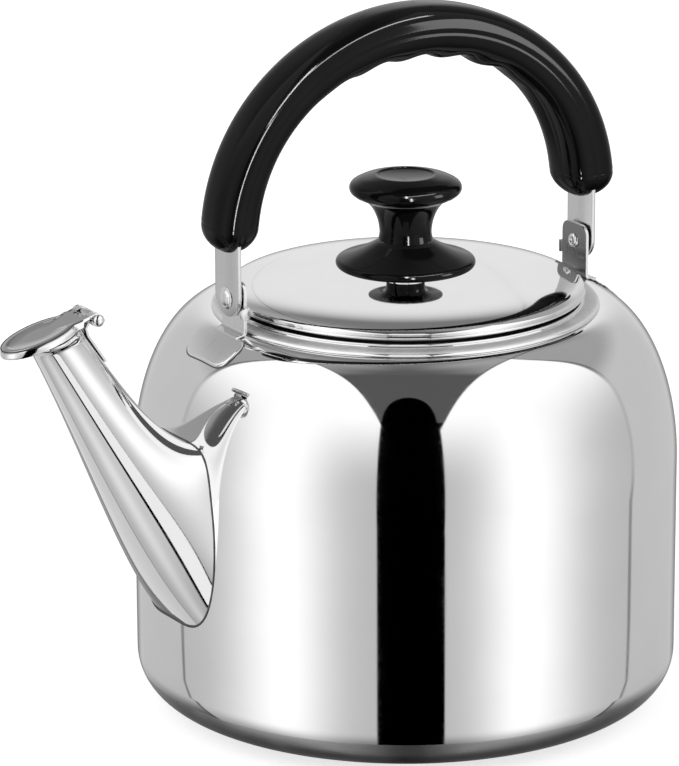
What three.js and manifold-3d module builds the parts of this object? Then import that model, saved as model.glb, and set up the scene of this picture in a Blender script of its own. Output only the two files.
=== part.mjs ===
// A stovetop whistling kettle of polished stainless steel with black moulded grips.
// Millimetres, +Z up. The origin is the centre of the base's underside, on the axis of the
// drum. The spout points to -X, and the handle's arch lies in the XZ plane, over the spout.

import * as THREE from 'three';
import { mergeVertices } from 'three/addons/utils/BufferGeometryUtils.js';
import Module from 'manifold-3d';

const wasm = await Module();
wasm.setup();

// ---------------------------------------------------------------- driving dimensions

const GAP = 0.3;                 // clearance between pieces that touch
const SHEET = 1.2;               // wall of the drum, lid and spout

const BODY_RADIUS = 110;
const BODY_SEGMENTS = 40;
const CORNER_RADIUS = 17.7;      // between the drum's floor and wall
const SHOULDER_START = 98.6;     // height where the wall starts to curve in
const SHOULDER_TOP = 161.2;
const SHOULDER_INNER = 78.7;     // radius where the shoulder has become flat
const SHOULDER_POWER = 1.94;     // 2 would be an ellipse
const MOUTH_RADIUS = 60;
const COLLAR_RADIUS = 71;
const COLLAR_TOP = 165.9;
const COLLAR_LEDGE = 164.6;
const COLLAR_LEDGE_WIDTH = 2.5;

const BASE_DROP = 3;             // how far the heat-spreading base stands below the drum
const BASE_RADIUS = 86;
const BASE_SHEET = 0.8;

const LID_RADIUS = 72.3;
const LID_BOTTOM = COLLAR_TOP + GAP;
const LID_TOP = 172;
const LID_CROWN = 0.5;           // rise of the nearly flat middle
const LID_FLAT_RADIUS = 55;      // where the rolled rim begins
const LID_SKIRT_RADIUS = 59.3;
const LID_SKIRT_BOTTOM = 155;
const SCREW_HOLE = 2.5;

const KNOB_SEGMENTS = 24;
const KNOB_SPLIT = 187.4;        // where the saucer meets the waisted grip
const FERRULE_RADIUS = 9;
const FERRULE_TOP = 174.4;

const SPOUT_STEPS = 12;
const SPOUT_SIDES = 22;

const PIN_CENTRE = new THREE.Vector3(-144.5, 0, 177.6);
const CAP_TILT = THREE.MathUtils.degToRad(16.5);
const PIN_RADIUS = 1.2;
const KNUCKLE_RADIUS = 2.6;
const KNUCKLE_BORE = PIN_RADIUS + GAP;
const TAIL_HALF_WIDTH = 7.2;
const BRACKET_STRIP_HALF_WIDTH = 3.2;
const CAP_SHEET = 1;
const CAP_TOP = KNUCKLE_RADIUS;  // height of the cap's top above the pin's axis
const CAP_BOTTOM = -0.5;
const CAP_CENTRE = 22;           // distance of the oval's centre in front of the pin
const CAP_SIDES = 24;
const LIP_CENTRE = 17.6;         // distance of the spout's mouth in front of the pin
const DISC_SIDES = 18;           // of the whistle's discs

const RIVET_HEIGHT = 175.4;
const HANDLE_OFFSET = 1.5;       // the handle sits a little towards the back
const STRAP_REACH = 84.5;        // half the span over the straps' outer faces
const STRAP_THICKNESS = 1.8;
const STRAP_HALF_WIDTH = 9;
const STRAP_TOP = 215;
const STRAP_END = RIVET_HEIGHT + 1.6;  // centre of the strap's round lower end
const WASHER_RADIUS = 5.2;
const WASHER_THICKNESS = 0.5;
const LUG_THICKNESS = 1.5;
const LUG_HALF_WIDTH = 8.7;
const LUG_REACH = STRAP_REACH - STRAP_THICKNESS - WASHER_THICKNESS - 2 * GAP;
const EAR_RADIUS = 2.5;
const EAR_THICKNESS = 1.5;
const RIVET_RADIUS = 2.3;
const RIVET_HOLE = RIVET_RADIUS + GAP;

const GRIP_BASE = 196.5;         // height of the centre of the grip's two outlines
const GRIP_OUTER = { centre: 2.9, span: 93.9, rise: 87.1, power: 2 };
const GRIP_INNER = { centre: 0.8, span: 72.8, rise: 66.9, power: 2.14 };
const GRIP_LEG_HALF_WIDTH = 12;
const GRIP_TOP_HALF_WIDTH = 13.6;
const GRIP_SQUARENESS = 2.9;     // power of the section's outline, 2 would be an ellipse
const GRIP_STEPS = 32;
const GRIP_SIDES = 16;
const GRIP_LEG_DROP = 2.5;       // how far the rounded ends reach below the outlines' centre
const GRIP_END_LENGTH = 11.5;    // length of the rounding at each end
const FINGER_PITCH = 19.5;
const FINGER_DEPTH = 2;
const FINGER_CENTRE = 4.75;

// ---------------------------------------------------------------- helpers

const vec = (x, y, z) => new THREE.Vector3(x, y, z);
const TURN = 2 * Math.PI;

// A closed geometry as a solid for joining and cutting.
function solid(geometry) {
  const bare = geometry.clone();
  bare.deleteAttribute('normal');
  bare.deleteAttribute('uv');
  const merged = mergeVertices(bare, 1e-4);
  const vertProperties = Float32Array.from(merged.getAttribute('position').array);
  const triVerts = Uint32Array.from(merged.getIndex().array);
  return new wasm.Manifold(new wasm.Mesh({ numProp: 3, vertProperties, triVerts }));
}

// A solid back as a geometry.
function surface(manifold) {
  const mesh = manifold.getMesh();
  const geometry = new THREE.BufferGeometry();
  geometry.setAttribute('position', new THREE.BufferAttribute(mesh.vertProperties, 3));
  geometry.setIndex(new THREE.BufferAttribute(mesh.triVerts, 1));
  geometry.computeVertexNormals();
  return geometry;
}

// A solid of revolution about Z from [radius, height] pairs, counted outwards and upwards.
function revolve(profile, segments, closed) {
  const points = profile.map(([radius, height]) => new THREE.Vector2(radius, height));
  if (closed) points.push(points[0].clone());
  return new THREE.LatheGeometry(points, segments).rotateX(Math.PI / 2);
}

// A shape drawn in the plane of two axes and extruded along their normal.
function plate(shape, depth, axisX, axisY, origin) {
  const geometry = new THREE.ExtrudeGeometry(shape, { depth, bevelEnabled: false, curveSegments: 8 });
  const normal = new THREE.Vector3().crossVectors(axisX, axisY);
  const matrix = new THREE.Matrix4().makeBasis(axisX, axisY, normal).setPosition(origin);
  return geometry.applyMatrix4(matrix);
}

// A closed skin over rings of equal point counts, with a flat fan over each end.
function loft(rings) {
  const sides = rings[0].length;
  const positions = rings.flat().flatMap((point) => point.toArray());
  const index = [];
  for (let ring = 0; ring + 1 < rings.length; ring++) {
    for (let side = 0; side < sides; side++) {
      const a = ring * sides + side;
      const b = ring * sides + (side + 1) % sides;
      index.push(a, b, b + sides, a, b + sides, a + sides);
    }
  }
  [0, rings.length - 1].forEach((ring, end) => {
    const centre = positions.length / 3;
    const middle = rings[ring].reduce((sum, point) => sum.add(point), vec(0, 0, 0));
    positions.push(...middle.divideScalar(sides).toArray());
    for (let side = 0; side < sides; side++) {
      const a = ring * sides + side;
      const b = ring * sides + (side + 1) % sides;
      index.push(...(end ? [a, b, centre] : [b, a, centre]));
    }
  });
  const geometry = new THREE.BufferGeometry();
  geometry.setAttribute('position', new THREE.Float32BufferAttribute(positions, 3));
  geometry.setIndex(signedVolume(positions, index) > 0 ? index : index.reverse());
  return geometry;
}

function signedVolume(positions, index) {
  const corner = (i) => vec(...positions.slice(3 * index[i], 3 * index[i] + 3));
  let total = 0;
  for (let i = 0; i < index.length; i += 3) {
    total += corner(i).dot(corner(i + 1).cross(corner(i + 2)));
  }
  return total;
}

// A rounded outline |x|^power + |y|^power = 1, where power 2 is a circle.
function roundedUnit(angle, power) {
  const bend = (value) => Math.sign(value) * Math.abs(value) ** (2 / power);
  return [bend(Math.cos(angle)), bend(Math.sin(angle))];
}

function cylinder(radius, length, sides, axis, centre) {
  const geometry = new THREE.CylinderGeometry(radius, radius, length, sides);
  const spin = new THREE.Quaternion().setFromUnitVectors(vec(0, 1, 0), axis);
  return geometry.applyQuaternion(spin).translate(...centre.toArray());
}

function box(from, to) {
  const size = to.clone().sub(from);
  const centre = from.clone().add(to).multiplyScalar(0.5);
  return new THREE.BoxGeometry(...size.toArray()).translate(...centre.toArray());
}

// The points of an arc of an ellipse, from one angle to another.
function arc(centre, radii, from, to, steps) {
  return Array.from({ length: steps + 1 }, (_, i) => {
    const angle = from + (to - from) * i / steps;
    return [centre[0] + radii[0] * Math.cos(angle), centre[1] + radii[1] * Math.sin(angle)];
  });
}

const steel = () => new THREE.MeshStandardMaterial({ color: 0xd8d9da, roughness: 0.12, metalness: 1 });
const cutSteel = () => new THREE.MeshStandardMaterial({ color: 0xb9babb, roughness: 0.3, metalness: 1 });
const bakelite = () => new THREE.MeshStandardMaterial({ color: 0x0c0c0d, roughness: 0.15, metalness: 0 });
const aluminium = () => new THREE.MeshStandardMaterial({ color: 0xb5b7b9, roughness: 0.45, metalness: 1 });

function piece(name, geometry, material) {
  const mesh = new THREE.Mesh(geometry, material);
  mesh.name = name;
  return mesh;
}

// ---------------------------------------------------------------- the drum

// The shoulder's outline at a distance outside the drum's own skin.
function shoulder(offset, steps) {
  const radial = BODY_RADIUS - SHOULDER_INNER + offset;
  const rise = SHOULDER_TOP - SHOULDER_START + offset;
  return Array.from({ length: steps + 1 }, (_, i) => {
    const [across, up] = roundedUnit(Math.PI / 2 * i / steps, SHOULDER_POWER);
    return [SHOULDER_INNER + radial * across, SHOULDER_START + rise * up];
  });
}

// The wall and shoulder filled solid, for cutting what lies against them.
function drumBlock(offset) {
  return revolve([[0, 0], [BODY_RADIUS + offset, 0], ...shoulder(offset, 10), [0, SHOULDER_TOP + offset]],
    BODY_SEGMENTS, false);
}

function bodyShell() {
  const corner = [BODY_RADIUS - CORNER_RADIUS, CORNER_RADIUS];
  const innerCorner = CORNER_RADIUS - SHEET;
  const outside = [
    [0, 0],
    ...arc(corner, [CORNER_RADIUS, CORNER_RADIUS], -Math.PI / 2, 0, 5),
    ...shoulder(0, 10),
    [COLLAR_RADIUS + 1, SHOULDER_TOP],
    [COLLAR_RADIUS, SHOULDER_TOP + 1],
    [COLLAR_RADIUS, COLLAR_LEDGE],
    [COLLAR_RADIUS - COLLAR_LEDGE_WIDTH, COLLAR_LEDGE],
    [COLLAR_RADIUS - COLLAR_LEDGE_WIDTH, COLLAR_TOP],
    [MOUTH_RADIUS, COLLAR_TOP],
  ];
  const inside = [
    [MOUTH_RADIUS, SHOULDER_TOP - SHEET],
    ...shoulder(-SHEET, 7).reverse(),
    ...arc(corner, [innerCorner, innerCorner], 0, -Math.PI / 2, 3),
    [0, SHEET],
  ];
  let shell = solid(revolve([...outside, ...inside], BODY_SEGMENTS, false));
  for (const hole of strainerHoles()) shell = shell.subtract(solid(hole));
  return surface(shell);
}

// Staggered holes through the wall, inside the spout's root.
function strainerHoles() {
  const holes = [];
  for (let row = 0; row < 5; row++) {
    const count = row % 2 ? 2 : 3;
    for (let i = 0; i < count; i++) {
      const centre = vec(-BODY_RADIUS + 3, (i - (count - 1) / 2) * 13, 62 + 11 * row);
      holes.push(cylinder(3, 20, 8, vec(1, 0, 0), centre));
    }
  }
  return holes;
}

function baseCore() {
  const radius = BASE_RADIUS - BASE_SHEET - GAP;
  const bottom = -BASE_DROP + BASE_SHEET + GAP;
  return revolve([[0, bottom], [radius, bottom], [radius, -GAP], [0, -GAP]], BODY_SEGMENTS, false);
}

function baseCover() {
  const inner = BASE_RADIUS - BASE_SHEET;
  const floor = -BASE_DROP + BASE_SHEET;
  return revolve([[0, -BASE_DROP], [BASE_RADIUS - 1, -BASE_DROP], [BASE_RADIUS, 1 - BASE_DROP],
    [BASE_RADIUS, -GAP], [inner, -GAP], [inner, floor], [0, floor]], BODY_SEGMENTS, false);
}

// ---------------------------------------------------------------- the spout

// Its lower and upper outlines in the XZ plane, and its half width, from root to neck.
const spoutLower = new THREE.CubicBezierCurve3(
  vec(-100.3, 0, 36.8), vec(-124.8, 0, 60.6), vec(-144.1, 0, 117.4), vec(-168.3, 0, 165.2));
const spoutUpper = new THREE.CubicBezierCurve3(
  vec(-103.2, 0, 122), vec(-117.7, 0, 124), vec(-133, 0, 149.6), vec(-147.2, 0, 170.7));
const spoutWidth = new THREE.CubicBezierCurve3(
  vec(29.6, 0, 0), vec(25.4, 0, 0), vec(14.2, 0, 0), vec(10.3, 0, 0));

// One section: a circle at the neck that grows into a squarer oval at the root.
function spoutRing(t, wall) {
  const low = spoutLower.getPoint(t);
  const high = spoutUpper.getPoint(t);
  const middle = low.clone().add(high).multiplyScalar(0.5);
  const reach = high.clone().sub(low).multiplyScalar(0.5);
  reach.setLength(reach.length() - wall);
  const halfWidth = spoutWidth.getPoint(t).x - wall;
  return Array.from({ length: SPOUT_SIDES }, (_, i) => {
    const angle = TURN * i / SPOUT_SIDES;
    const squareness = (Math.cos(angle) > 0 ? 0.7 : 0.6) * (1 - t) ** 1.5;
    const across = Math.sign(Math.sin(angle)) * Math.abs(Math.sin(angle)) ** (1 - squareness);
    return middle.clone().addScaledVector(reach, Math.cos(angle)).setY(halfWidth * across);
  });
}

// A level ring in the cap's own frame: along the cap, across it, and up from the pin.
function capRing(centre, along, across, height, sides) {
  return Array.from({ length: sides }, (_, i) => {
    const angle = Math.PI - TURN * i / sides;
    return capPoint(centre + along * Math.cos(angle), across * Math.sin(angle), height);
  });
}

function capPoint(along, across, height) {
  return vec(
    PIN_CENTRE.x - along * Math.cos(CAP_TILT) - height * Math.sin(CAP_TILT),
    across,
    PIN_CENTRE.z - along * Math.sin(CAP_TILT) + height * Math.cos(CAP_TILT));
}

function spoutSkin(wall, overshoot) {
  const rings = Array.from({ length: SPOUT_STEPS + 1 }, (_, i) => spoutRing(i / SPOUT_STEPS, wall));
  rings.push(capRing(LIP_CENTRE - 1.6, 11.2 - wall, 10.4 - wall, -3.8, SPOUT_SIDES));
  rings.push(capRing(LIP_CENTRE - 0.3, 12.2 - wall, 11.1 - wall, -2.3, SPOUT_SIDES));
  rings.push(capRing(LIP_CENTRE, 12.4 - wall, 11.3 - wall, CAP_BOTTOM - GAP + overshoot, SPOUT_SIDES));
  return loft(rings);
}

function spoutTube() {
  const tube = solid(spoutSkin(0, 0)).subtract(solid(spoutSkin(SHEET, 0.5)));
  return surface(tube.subtract(solid(drumBlock(GAP))));
}

// The strip on the spout's back that carries the cap's pin.
function capBracket() {
  const width = 2 * BRACKET_STRIP_HALF_WIDTH;
  const outline = [
    capPoint(0.6, 0, -1.2), capPoint(3.1, 0, -4.3), vec(-145.9, 0, 171.5), vec(-139.3, 0, 161.3),
    vec(-143, 0, 160), vec(-150, 0, 172), capPoint(5, 0, -4.3), capPoint(2.2, 0, -1),
  ];
  const strip = new THREE.Shape(outline.map((point) => new THREE.Vector2(point.x, point.z)));
  const origin = vec(0, BRACKET_STRIP_HALF_WIDTH, 0);
  const sheet = plate(strip, width, vec(1, 0, 0), vec(0, 0, 1), origin);
  const knuckle = cylinder(KNUCKLE_RADIUS, width, 16, vec(0, 1, 0), PIN_CENTRE);
  const bore = cylinder(KNUCKLE_BORE, 40, 14, vec(0, 1, 0), PIN_CENTRE);
  return surface(solid(sheet).subtract(solid(spoutSkin(-GAP, 0))).add(solid(knuckle))
    .subtract(solid(bore)));
}

// The pin, with a domed head at each end.
function capPin() {
  const half = TAIL_HALF_WIDTH + GAP;
  const head = arc([0, half + 1.1], [2.4, 1.6], -Math.PI / 2, Math.PI / 2, 5);
  const upper = [[PIN_RADIUS, half], ...head.slice(1)];
  const lower = upper.map(([radius, height]) => [radius, -height]).reverse();
  lower[0][0] = 0;
  upper[upper.length - 1][0] = 0;
  const geometry = revolve([...lower, ...upper], 14, false).rotateX(-Math.PI / 2);
  return geometry.translate(...PIN_CENTRE.toArray());
}

// ---------------------------------------------------------------- the whistle cap

function capDish(wall) {
  const drop = wall ? 0.5 : 0;
  return loft([
    capRing(CAP_CENTRE, 17 - wall, 11.6 - wall, CAP_BOTTOM - drop, CAP_SIDES),
    capRing(CAP_CENTRE, 16.9 - wall, 11.5 - wall, 1.4 - wall, CAP_SIDES),
    capRing(CAP_CENTRE, 15.9 - wall, 10.4 - wall, CAP_TOP - 0.3 - wall, CAP_SIDES),
    capRing(CAP_CENTRE, 14.4 - wall, 9.1 - wall, CAP_TOP - wall, CAP_SIDES),
  ]);
}

// The flat tail behind the oval, as seen from above.
function capTail() {
  const tail = new THREE.Shape();
  tail.moveTo(0, -TAIL_HALF_WIDTH);
  tail.lineTo(2.5, -TAIL_HALF_WIDTH);
  tail.quadraticCurveTo(6.5, -6.4, 12, -9);
  tail.lineTo(18, -9);
  tail.lineTo(18, 9);
  tail.lineTo(12, 9);
  tail.quadraticCurveTo(6.5, 6.4, 2.5, TAIL_HALF_WIDTH);
  tail.lineTo(0, TAIL_HALF_WIDTH);
  tail.closePath();
  const along = capPoint(1, 0, 0).sub(PIN_CENTRE);
  const flipped = vec(0, -1, 0);
  return plate(tail, CAP_SHEET, along, flipped, capPoint(0, 0, CAP_TOP - CAP_SHEET - 0.15));
}

function whistleCap() {
  const axis = vec(0, 1, 0);
  const knuckle = cylinder(KNUCKLE_RADIUS, 2 * TAIL_HALF_WIDTH, 16, axis, PIN_CENTRE);
  const bore = cylinder(KNUCKLE_BORE, 40, 14, axis, PIN_CENTRE);
  const middle = BRACKET_STRIP_HALF_WIDTH + GAP;
  const window = new THREE.Shape();
  window.moveTo(-4, -middle);
  window.lineTo(4.4, -middle);
  window.lineTo(4.4, middle);
  window.lineTo(-4, middle);
  window.closePath();
  const along = capPoint(1, 0, 0).sub(PIN_CENTRE);
  const opening = plate(window, 12, along, vec(0, -1, 0), capPoint(0, 0, -6));
  const cap = solid(capDish(0)).subtract(solid(capDish(CAP_SHEET)))
    .add(solid(capTail()))
    .add(solid(knuckle))
    .subtract(solid(opening))
    .subtract(solid(bore));
  return surface(cap);
}

// The two drilled discs under the cap, between which the whistle sounds.
function whistlePlate() {
  const disc = solid(loft([
    capRing(LIP_CENTRE + 1, 8.6, 8.6, -1.9, DISC_SIDES),
    capRing(LIP_CENTRE + 1, 8.6, 8.6, -1.1, DISC_SIDES),
  ]));
  return surface(disc.subtract(solid(whistleHole())));
}

function whistleCup() {
  const outer = solid(loft([
    capRing(LIP_CENTRE + 1, 7.6, 7.6, -0.8, DISC_SIDES),
    capRing(LIP_CENTRE + 1, 7.2, 7.2, 1.3, DISC_SIDES),
  ]));
  const hollow = solid(loft([
    capRing(LIP_CENTRE + 1, 6.8, 6.8, -1.3, DISC_SIDES),
    capRing(LIP_CENTRE + 1, 6.4, 6.4, 0.5, DISC_SIDES),
  ]));
  return surface(outer.subtract(hollow).subtract(solid(whistleHole())));
}

function whistleHole() {
  return loft([capRing(LIP_CENTRE + 1, 1.5, 1.5, -4, 8), capRing(LIP_CENTRE + 1, 1.5, 1.5, 4, 8)]);
}

// ---------------------------------------------------------------- lugs, straps and rivets
// Each is made for the spout side and turned half round for the back.

function lugPlate() {
  const top = RIVET_HEIGHT + 7.3;
  const corner = 4;
  const shape = new THREE.Shape();
  shape.moveTo(-LUG_HALF_WIDTH, 155);
  shape.lineTo(LUG_HALF_WIDTH, 155);
  shape.lineTo(LUG_HALF_WIDTH, top - corner);
  shape.absarc(LUG_HALF_WIDTH - corner, top - corner, corner, 0, Math.PI / 2, false);
  shape.lineTo(corner - LUG_HALF_WIDTH, top);
  shape.absarc(corner - LUG_HALF_WIDTH, top - corner, corner, Math.PI / 2, Math.PI, false);
  shape.closePath();
  return plate(shape, LUG_THICKNESS, vec(0, 1, 0), vec(0, 0, 1), vec(-LUG_REACH, 0, 0));
}

// The two-lobed foot's outline seen from above: distance outwards, and across.
function footOutline() {
  const start = LUG_REACH - LUG_THICKNESS;
  const notch = LUG_REACH + 3.2;
  const edge = LUG_REACH + 14.8;
  const corner = notch + 5;
  const shape = new THREE.Shape();
  shape.moveTo(start, -LUG_HALF_WIDTH);
  shape.lineTo(notch, -LUG_HALF_WIDTH);
  shape.bezierCurveTo(notch - 0.2, -LUG_HALF_WIDTH - 1, notch - 0.6, -10.5, notch - 0.6, -11.5);
  shape.bezierCurveTo(notch - 0.6, -15, notch + 2, -17, corner, -17);
  shape.bezierCurveTo(edge - 2, -17, edge - 0.4, -13, edge - 0.2, -9);
  shape.bezierCurveTo(edge, -4, edge, 4, edge - 0.2, 9);
  shape.bezierCurveTo(edge - 0.4, 13, edge - 2, 17, corner, 17);
  shape.bezierCurveTo(notch + 2, 17, notch - 0.6, 15, notch - 0.6, 11.5);
  shape.bezierCurveTo(notch - 0.6, 10.5, notch - 0.2, LUG_HALF_WIDTH + 1, notch, LUG_HALF_WIDTH);
  shape.lineTo(start, LUG_HALF_WIDTH);
  shape.closePath();
  return shape;
}

// A small ear bent out of the lug's edge, which stops the folding strap.
function stopEar() {
  const near = STRAP_HALF_WIDTH + 0.6;
  const height = RIVET_HEIGHT - 4.6;
  const reach = STRAP_THICKNESS + WASHER_THICKNESS + 2 * GAP;
  const ear = new THREE.Shape();
  ear.moveTo(LUG_THICKNESS, -EAR_RADIUS);
  ear.lineTo(LUG_THICKNESS, EAR_RADIUS);
  ear.lineTo(EAR_RADIUS - reach, EAR_RADIUS);
  ear.absarc(EAR_RADIUS - reach, 0, EAR_RADIUS, Math.PI / 2, 3 * Math.PI / 2, false);
  ear.closePath();
  const origin = vec(-LUG_REACH, -near, height);
  const face = plate(ear, EAR_THICKNESS, vec(1, 0, 0), vec(0, 0, 1), origin);
  const neck = box(vec(-LUG_REACH, -near - EAR_THICKNESS + 0.1, height - EAR_RADIUS + 0.3),
    vec(-LUG_REACH + LUG_THICKNESS, 1 - LUG_HALF_WIDTH, height + EAR_RADIUS - 0.3));
  return solid(face).add(solid(neck));
}

// The drum's axis stands at drumCentre, since the handle's plane is set a little back.
function lug(drumCentre) {
  const drum = (offset) => solid(drumBlock(offset)).translate(drumCentre, 0, 0);
  const cover = drum(GAP + LUG_THICKNESS).subtract(drum(GAP));
  const outline = plate(footOutline(), 40, vec(-1, 0, 0), vec(0, 1, 0), vec(0, 0, 175));
  const hole = cylinder(RIVET_HOLE, 20, 16, vec(1, 0, 0), vec(-LUG_REACH, 0, RIVET_HEIGHT));
  const upright = solid(lugPlate()).subtract(drum(GAP));
  return surface(upright.add(cover.intersect(solid(outline))).add(stopEar()).subtract(solid(hole)));
}

function strap() {
  const shape = new THREE.Shape();
  shape.moveTo(STRAP_HALF_WIDTH, STRAP_END);
  shape.lineTo(STRAP_HALF_WIDTH, STRAP_TOP);
  shape.lineTo(-STRAP_HALF_WIDTH, STRAP_TOP);
  shape.lineTo(-STRAP_HALF_WIDTH, STRAP_END);
  shape.absarc(0, STRAP_END, STRAP_HALF_WIDTH, Math.PI, TURN, false);
  shape.closePath();
  const sheet = plate(shape, STRAP_THICKNESS, vec(0, 1, 0), vec(0, 0, 1), vec(-STRAP_REACH, 0, 0));
  const hole = cylinder(RIVET_HOLE, 20, 16, vec(1, 0, 0), vec(-STRAP_REACH, 0, RIVET_HEIGHT));
  return surface(solid(sheet).subtract(solid(hole)));
}

// A profile of [radius, distance outwards] pairs turned about the rivet's axis.
function turnedAboutRivet(profile, closed) {
  return revolve(profile, 16, closed).rotateY(-Math.PI / 2).translate(0, 0, RIVET_HEIGHT);
}

// The thin ring between the lug and the strap.
function rivetWasher() {
  const inside = LUG_REACH + GAP;
  const outside = inside + WASHER_THICKNESS;
  return turnedAboutRivet([
    [RIVET_HOLE, inside], [WASHER_RADIUS, inside], [WASHER_RADIUS, outside], [RIVET_HOLE, outside],
  ], true);
}

// A low domed head outside the strap, and a hollow peened tail inside the lug.
function rivet() {
  const head = STRAP_REACH + GAP;
  const tail = LUG_REACH - LUG_THICKNESS - GAP;
  const dome = arc([0, head + 0.3], [4.5, 1.4], 0, Math.PI / 2, 3);
  dome[dome.length - 1][0] = 0;
  return turnedAboutRivet([
    [0, tail + 1.2], [1.4, tail + 1.2], [1.6, tail - 0.8], [2.4, tail - 1], [3, tail - 0.4],
    [3, tail], [RIVET_RADIUS, tail], [RIVET_RADIUS, head], [4.5, head], ...dome,
  ], false);
}

// ---------------------------------------------------------------- the grip

// How far the finger grooves' crests stand down from the inner outline.
function fingerCrest(x) {
  const place = (x - FINGER_CENTRE) / FINGER_PITCH;
  const fade = THREE.MathUtils.clamp(2.6 - Math.abs(place), 0, 1);
  return FINGER_DEPTH * fade * (0.5 - 0.5 * Math.cos(TURN * place));
}

// A point of the grip's outer or inner outline.
function gripPoint(outline, angle) {
  const [across, up] = roundedUnit(angle, outline.power);
  return vec(outline.centre + outline.span * across, 0, GRIP_BASE + outline.rise * up);
}

// The section at an angle round the arch, shrunk towards its middle near the ends.
function gripRing(angle) {
  const outer = gripPoint(GRIP_OUTER, angle);
  const inner = gripPoint(GRIP_INNER, angle);
  inner.z -= fingerCrest(inner.x);
  const above = (outer.z - GRIP_BASE + GRIP_LEG_DROP) / GRIP_END_LENGTH;
  const scale = above < 1 ? Math.max(Math.sqrt(1 - (1 - above) ** 2), 0.12) : 1;
  const middle = outer.clone().add(inner).multiplyScalar(0.5);
  const reach = outer.clone().sub(middle).multiplyScalar(scale);
  const widening = (GRIP_TOP_HALF_WIDTH - GRIP_LEG_HALF_WIDTH) * Math.max(Math.sin(angle), 0);
  const halfWidth = scale * (GRIP_LEG_HALF_WIDTH + widening);
  return Array.from({ length: GRIP_SIDES }, (_, i) => {
    const [along, across] = roundedUnit(TURN * i / GRIP_SIDES, GRIP_SQUARENESS);
    return middle.clone().addScaledVector(reach, along).setY(halfWidth * across);
  });
}

// The angles of the sections in a leg's rounded end, from its tip upwards.
function gripEndAngles() {
  return [6, 20, 35, 50, 65, 79].map((degrees) => {
    const above = 1 - Math.cos(THREE.MathUtils.degToRad(degrees));
    return Math.asin((GRIP_END_LENGTH * above - GRIP_LEG_DROP) / GRIP_OUTER.rise);
  });
}

function handleGrip() {
  const ends = gripEndAngles();
  const first = Math.asin((GRIP_END_LENGTH - GRIP_LEG_DROP) / GRIP_OUTER.rise);
  const arch = Array.from({ length: GRIP_STEPS + 1 },
    (_, i) => first + (Math.PI - 2 * first) * i / GRIP_STEPS);
  const angles = [...ends, ...arch, ...ends.map((angle) => Math.PI - angle).reverse()];
  let grip = solid(loft(angles.map(gripRing)));
  for (const side of [-1, 1]) {
    const inner = HANDLE_OFFSET + side * (STRAP_REACH - STRAP_THICKNESS - GAP);
    const outer = HANDLE_OFFSET + side * (STRAP_REACH + GAP);
    const slot = box(
      vec(Math.min(inner, outer), -STRAP_HALF_WIDTH - GAP, RIVET_HEIGHT),
      vec(Math.max(inner, outer), STRAP_HALF_WIDTH + GAP, STRAP_TOP + GAP));
    grip = grip.subtract(solid(slot));
  }
  return surface(grip);
}

// ---------------------------------------------------------------- the lid

function lidShell() {
  const rim = [LID_RADIUS - LID_FLAT_RADIUS, LID_TOP - LID_BOTTOM - 0.4];
  const centre = [LID_FLAT_RADIUS, LID_BOTTOM + 0.4];
  const innerRim = [rim[0] - SHEET, rim[1] - SHEET];
  const outside = [
    [SCREW_HOLE, LID_TOP + LID_CROWN],
    [30, LID_TOP + 0.7 * LID_CROWN],
    ...arc(centre, rim, Math.PI / 2, 0, 7),
    [LID_RADIUS - 0.5, LID_BOTTOM],
    [LID_SKIRT_RADIUS, LID_BOTTOM],
    [LID_SKIRT_RADIUS, LID_SKIRT_BOTTOM],
  ];
  const inside = [
    [LID_SKIRT_RADIUS - SHEET, LID_SKIRT_BOTTOM],
    [LID_SKIRT_RADIUS - SHEET, LID_BOTTOM + 1],
    [LID_RADIUS - SHEET - 0.6, LID_BOTTOM + 1],
    ...arc(centre, innerRim, 0.15, Math.PI / 2, 4),
    [SCREW_HOLE, LID_TOP + LID_CROWN - SHEET],
  ];
  return revolve([...outside, ...inside].reverse(), BODY_SEGMENTS, true);
}

// The polished ferrule between the lid and the knob.
function knobWasher() {
  const bottom = LID_TOP + LID_CROWN + GAP;
  return revolve([
    [SCREW_HOLE, bottom], [FERRULE_RADIUS, bottom], [FERRULE_RADIUS, FERRULE_TOP - 0.8],
    [FERRULE_RADIUS - 0.8, FERRULE_TOP], [SCREW_HOLE, FERRULE_TOP],
  ], KNOB_SEGMENTS, true);
}

// The saucer-shaped heat guard, hollow underneath round its hub.
function knobSkirt() {
  return revolve([
    [SCREW_HOLE, FERRULE_TOP + GAP], [10, FERRULE_TOP + GAP], [10.4, 179.5], [22, 178.2], [25, 176.9],
    [26.9, 176.6], ...arc([26.4, 178.3], [1.8, 1.7], -1.1, 1.25, 4), [23, 181.2], [17.5, 183.6],
    [12.6, 186.2], [11.1, KNOB_SPLIT], [SCREW_HOLE, KNOB_SPLIT],
  ], KNOB_SEGMENTS, true);
}

// The waisted head, with a dished top and a blind hole for the screw.
function knobGrip() {
  const bottom = KNOB_SPLIT + GAP;
  return revolve([
    [0, 205], [SCREW_HOLE, 205], [SCREW_HOLE, bottom], [10.9, bottom], [10.5, 191], [11.2, 195.5],
    [13, 200], [15.8, 203.6], [18.6, 205], [20.8, 206.2],
    ...arc([19.6, 209], [2.9, 2.9], -0.9, 0.9, 4), [17.5, 213], [12.5, 214.4], [11, 214.2],
    [6, 213.5], [0, 213.3],
  ], KNOB_SEGMENTS, false);
}

// The screw from under the lid into the knob, and its washer.
function knobScrew() {
  const head = LID_TOP + LID_CROWN - SHEET - 1 - 2 * GAP;
  const radius = SCREW_HOLE - GAP;
  return revolve([
    [0, head - 2.6], [3, head - 2.2], [4.2, head - 1], [4.2, head], [radius, head], [radius, 202],
    [0, 203.5],
  ], 16, false);
}

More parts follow.
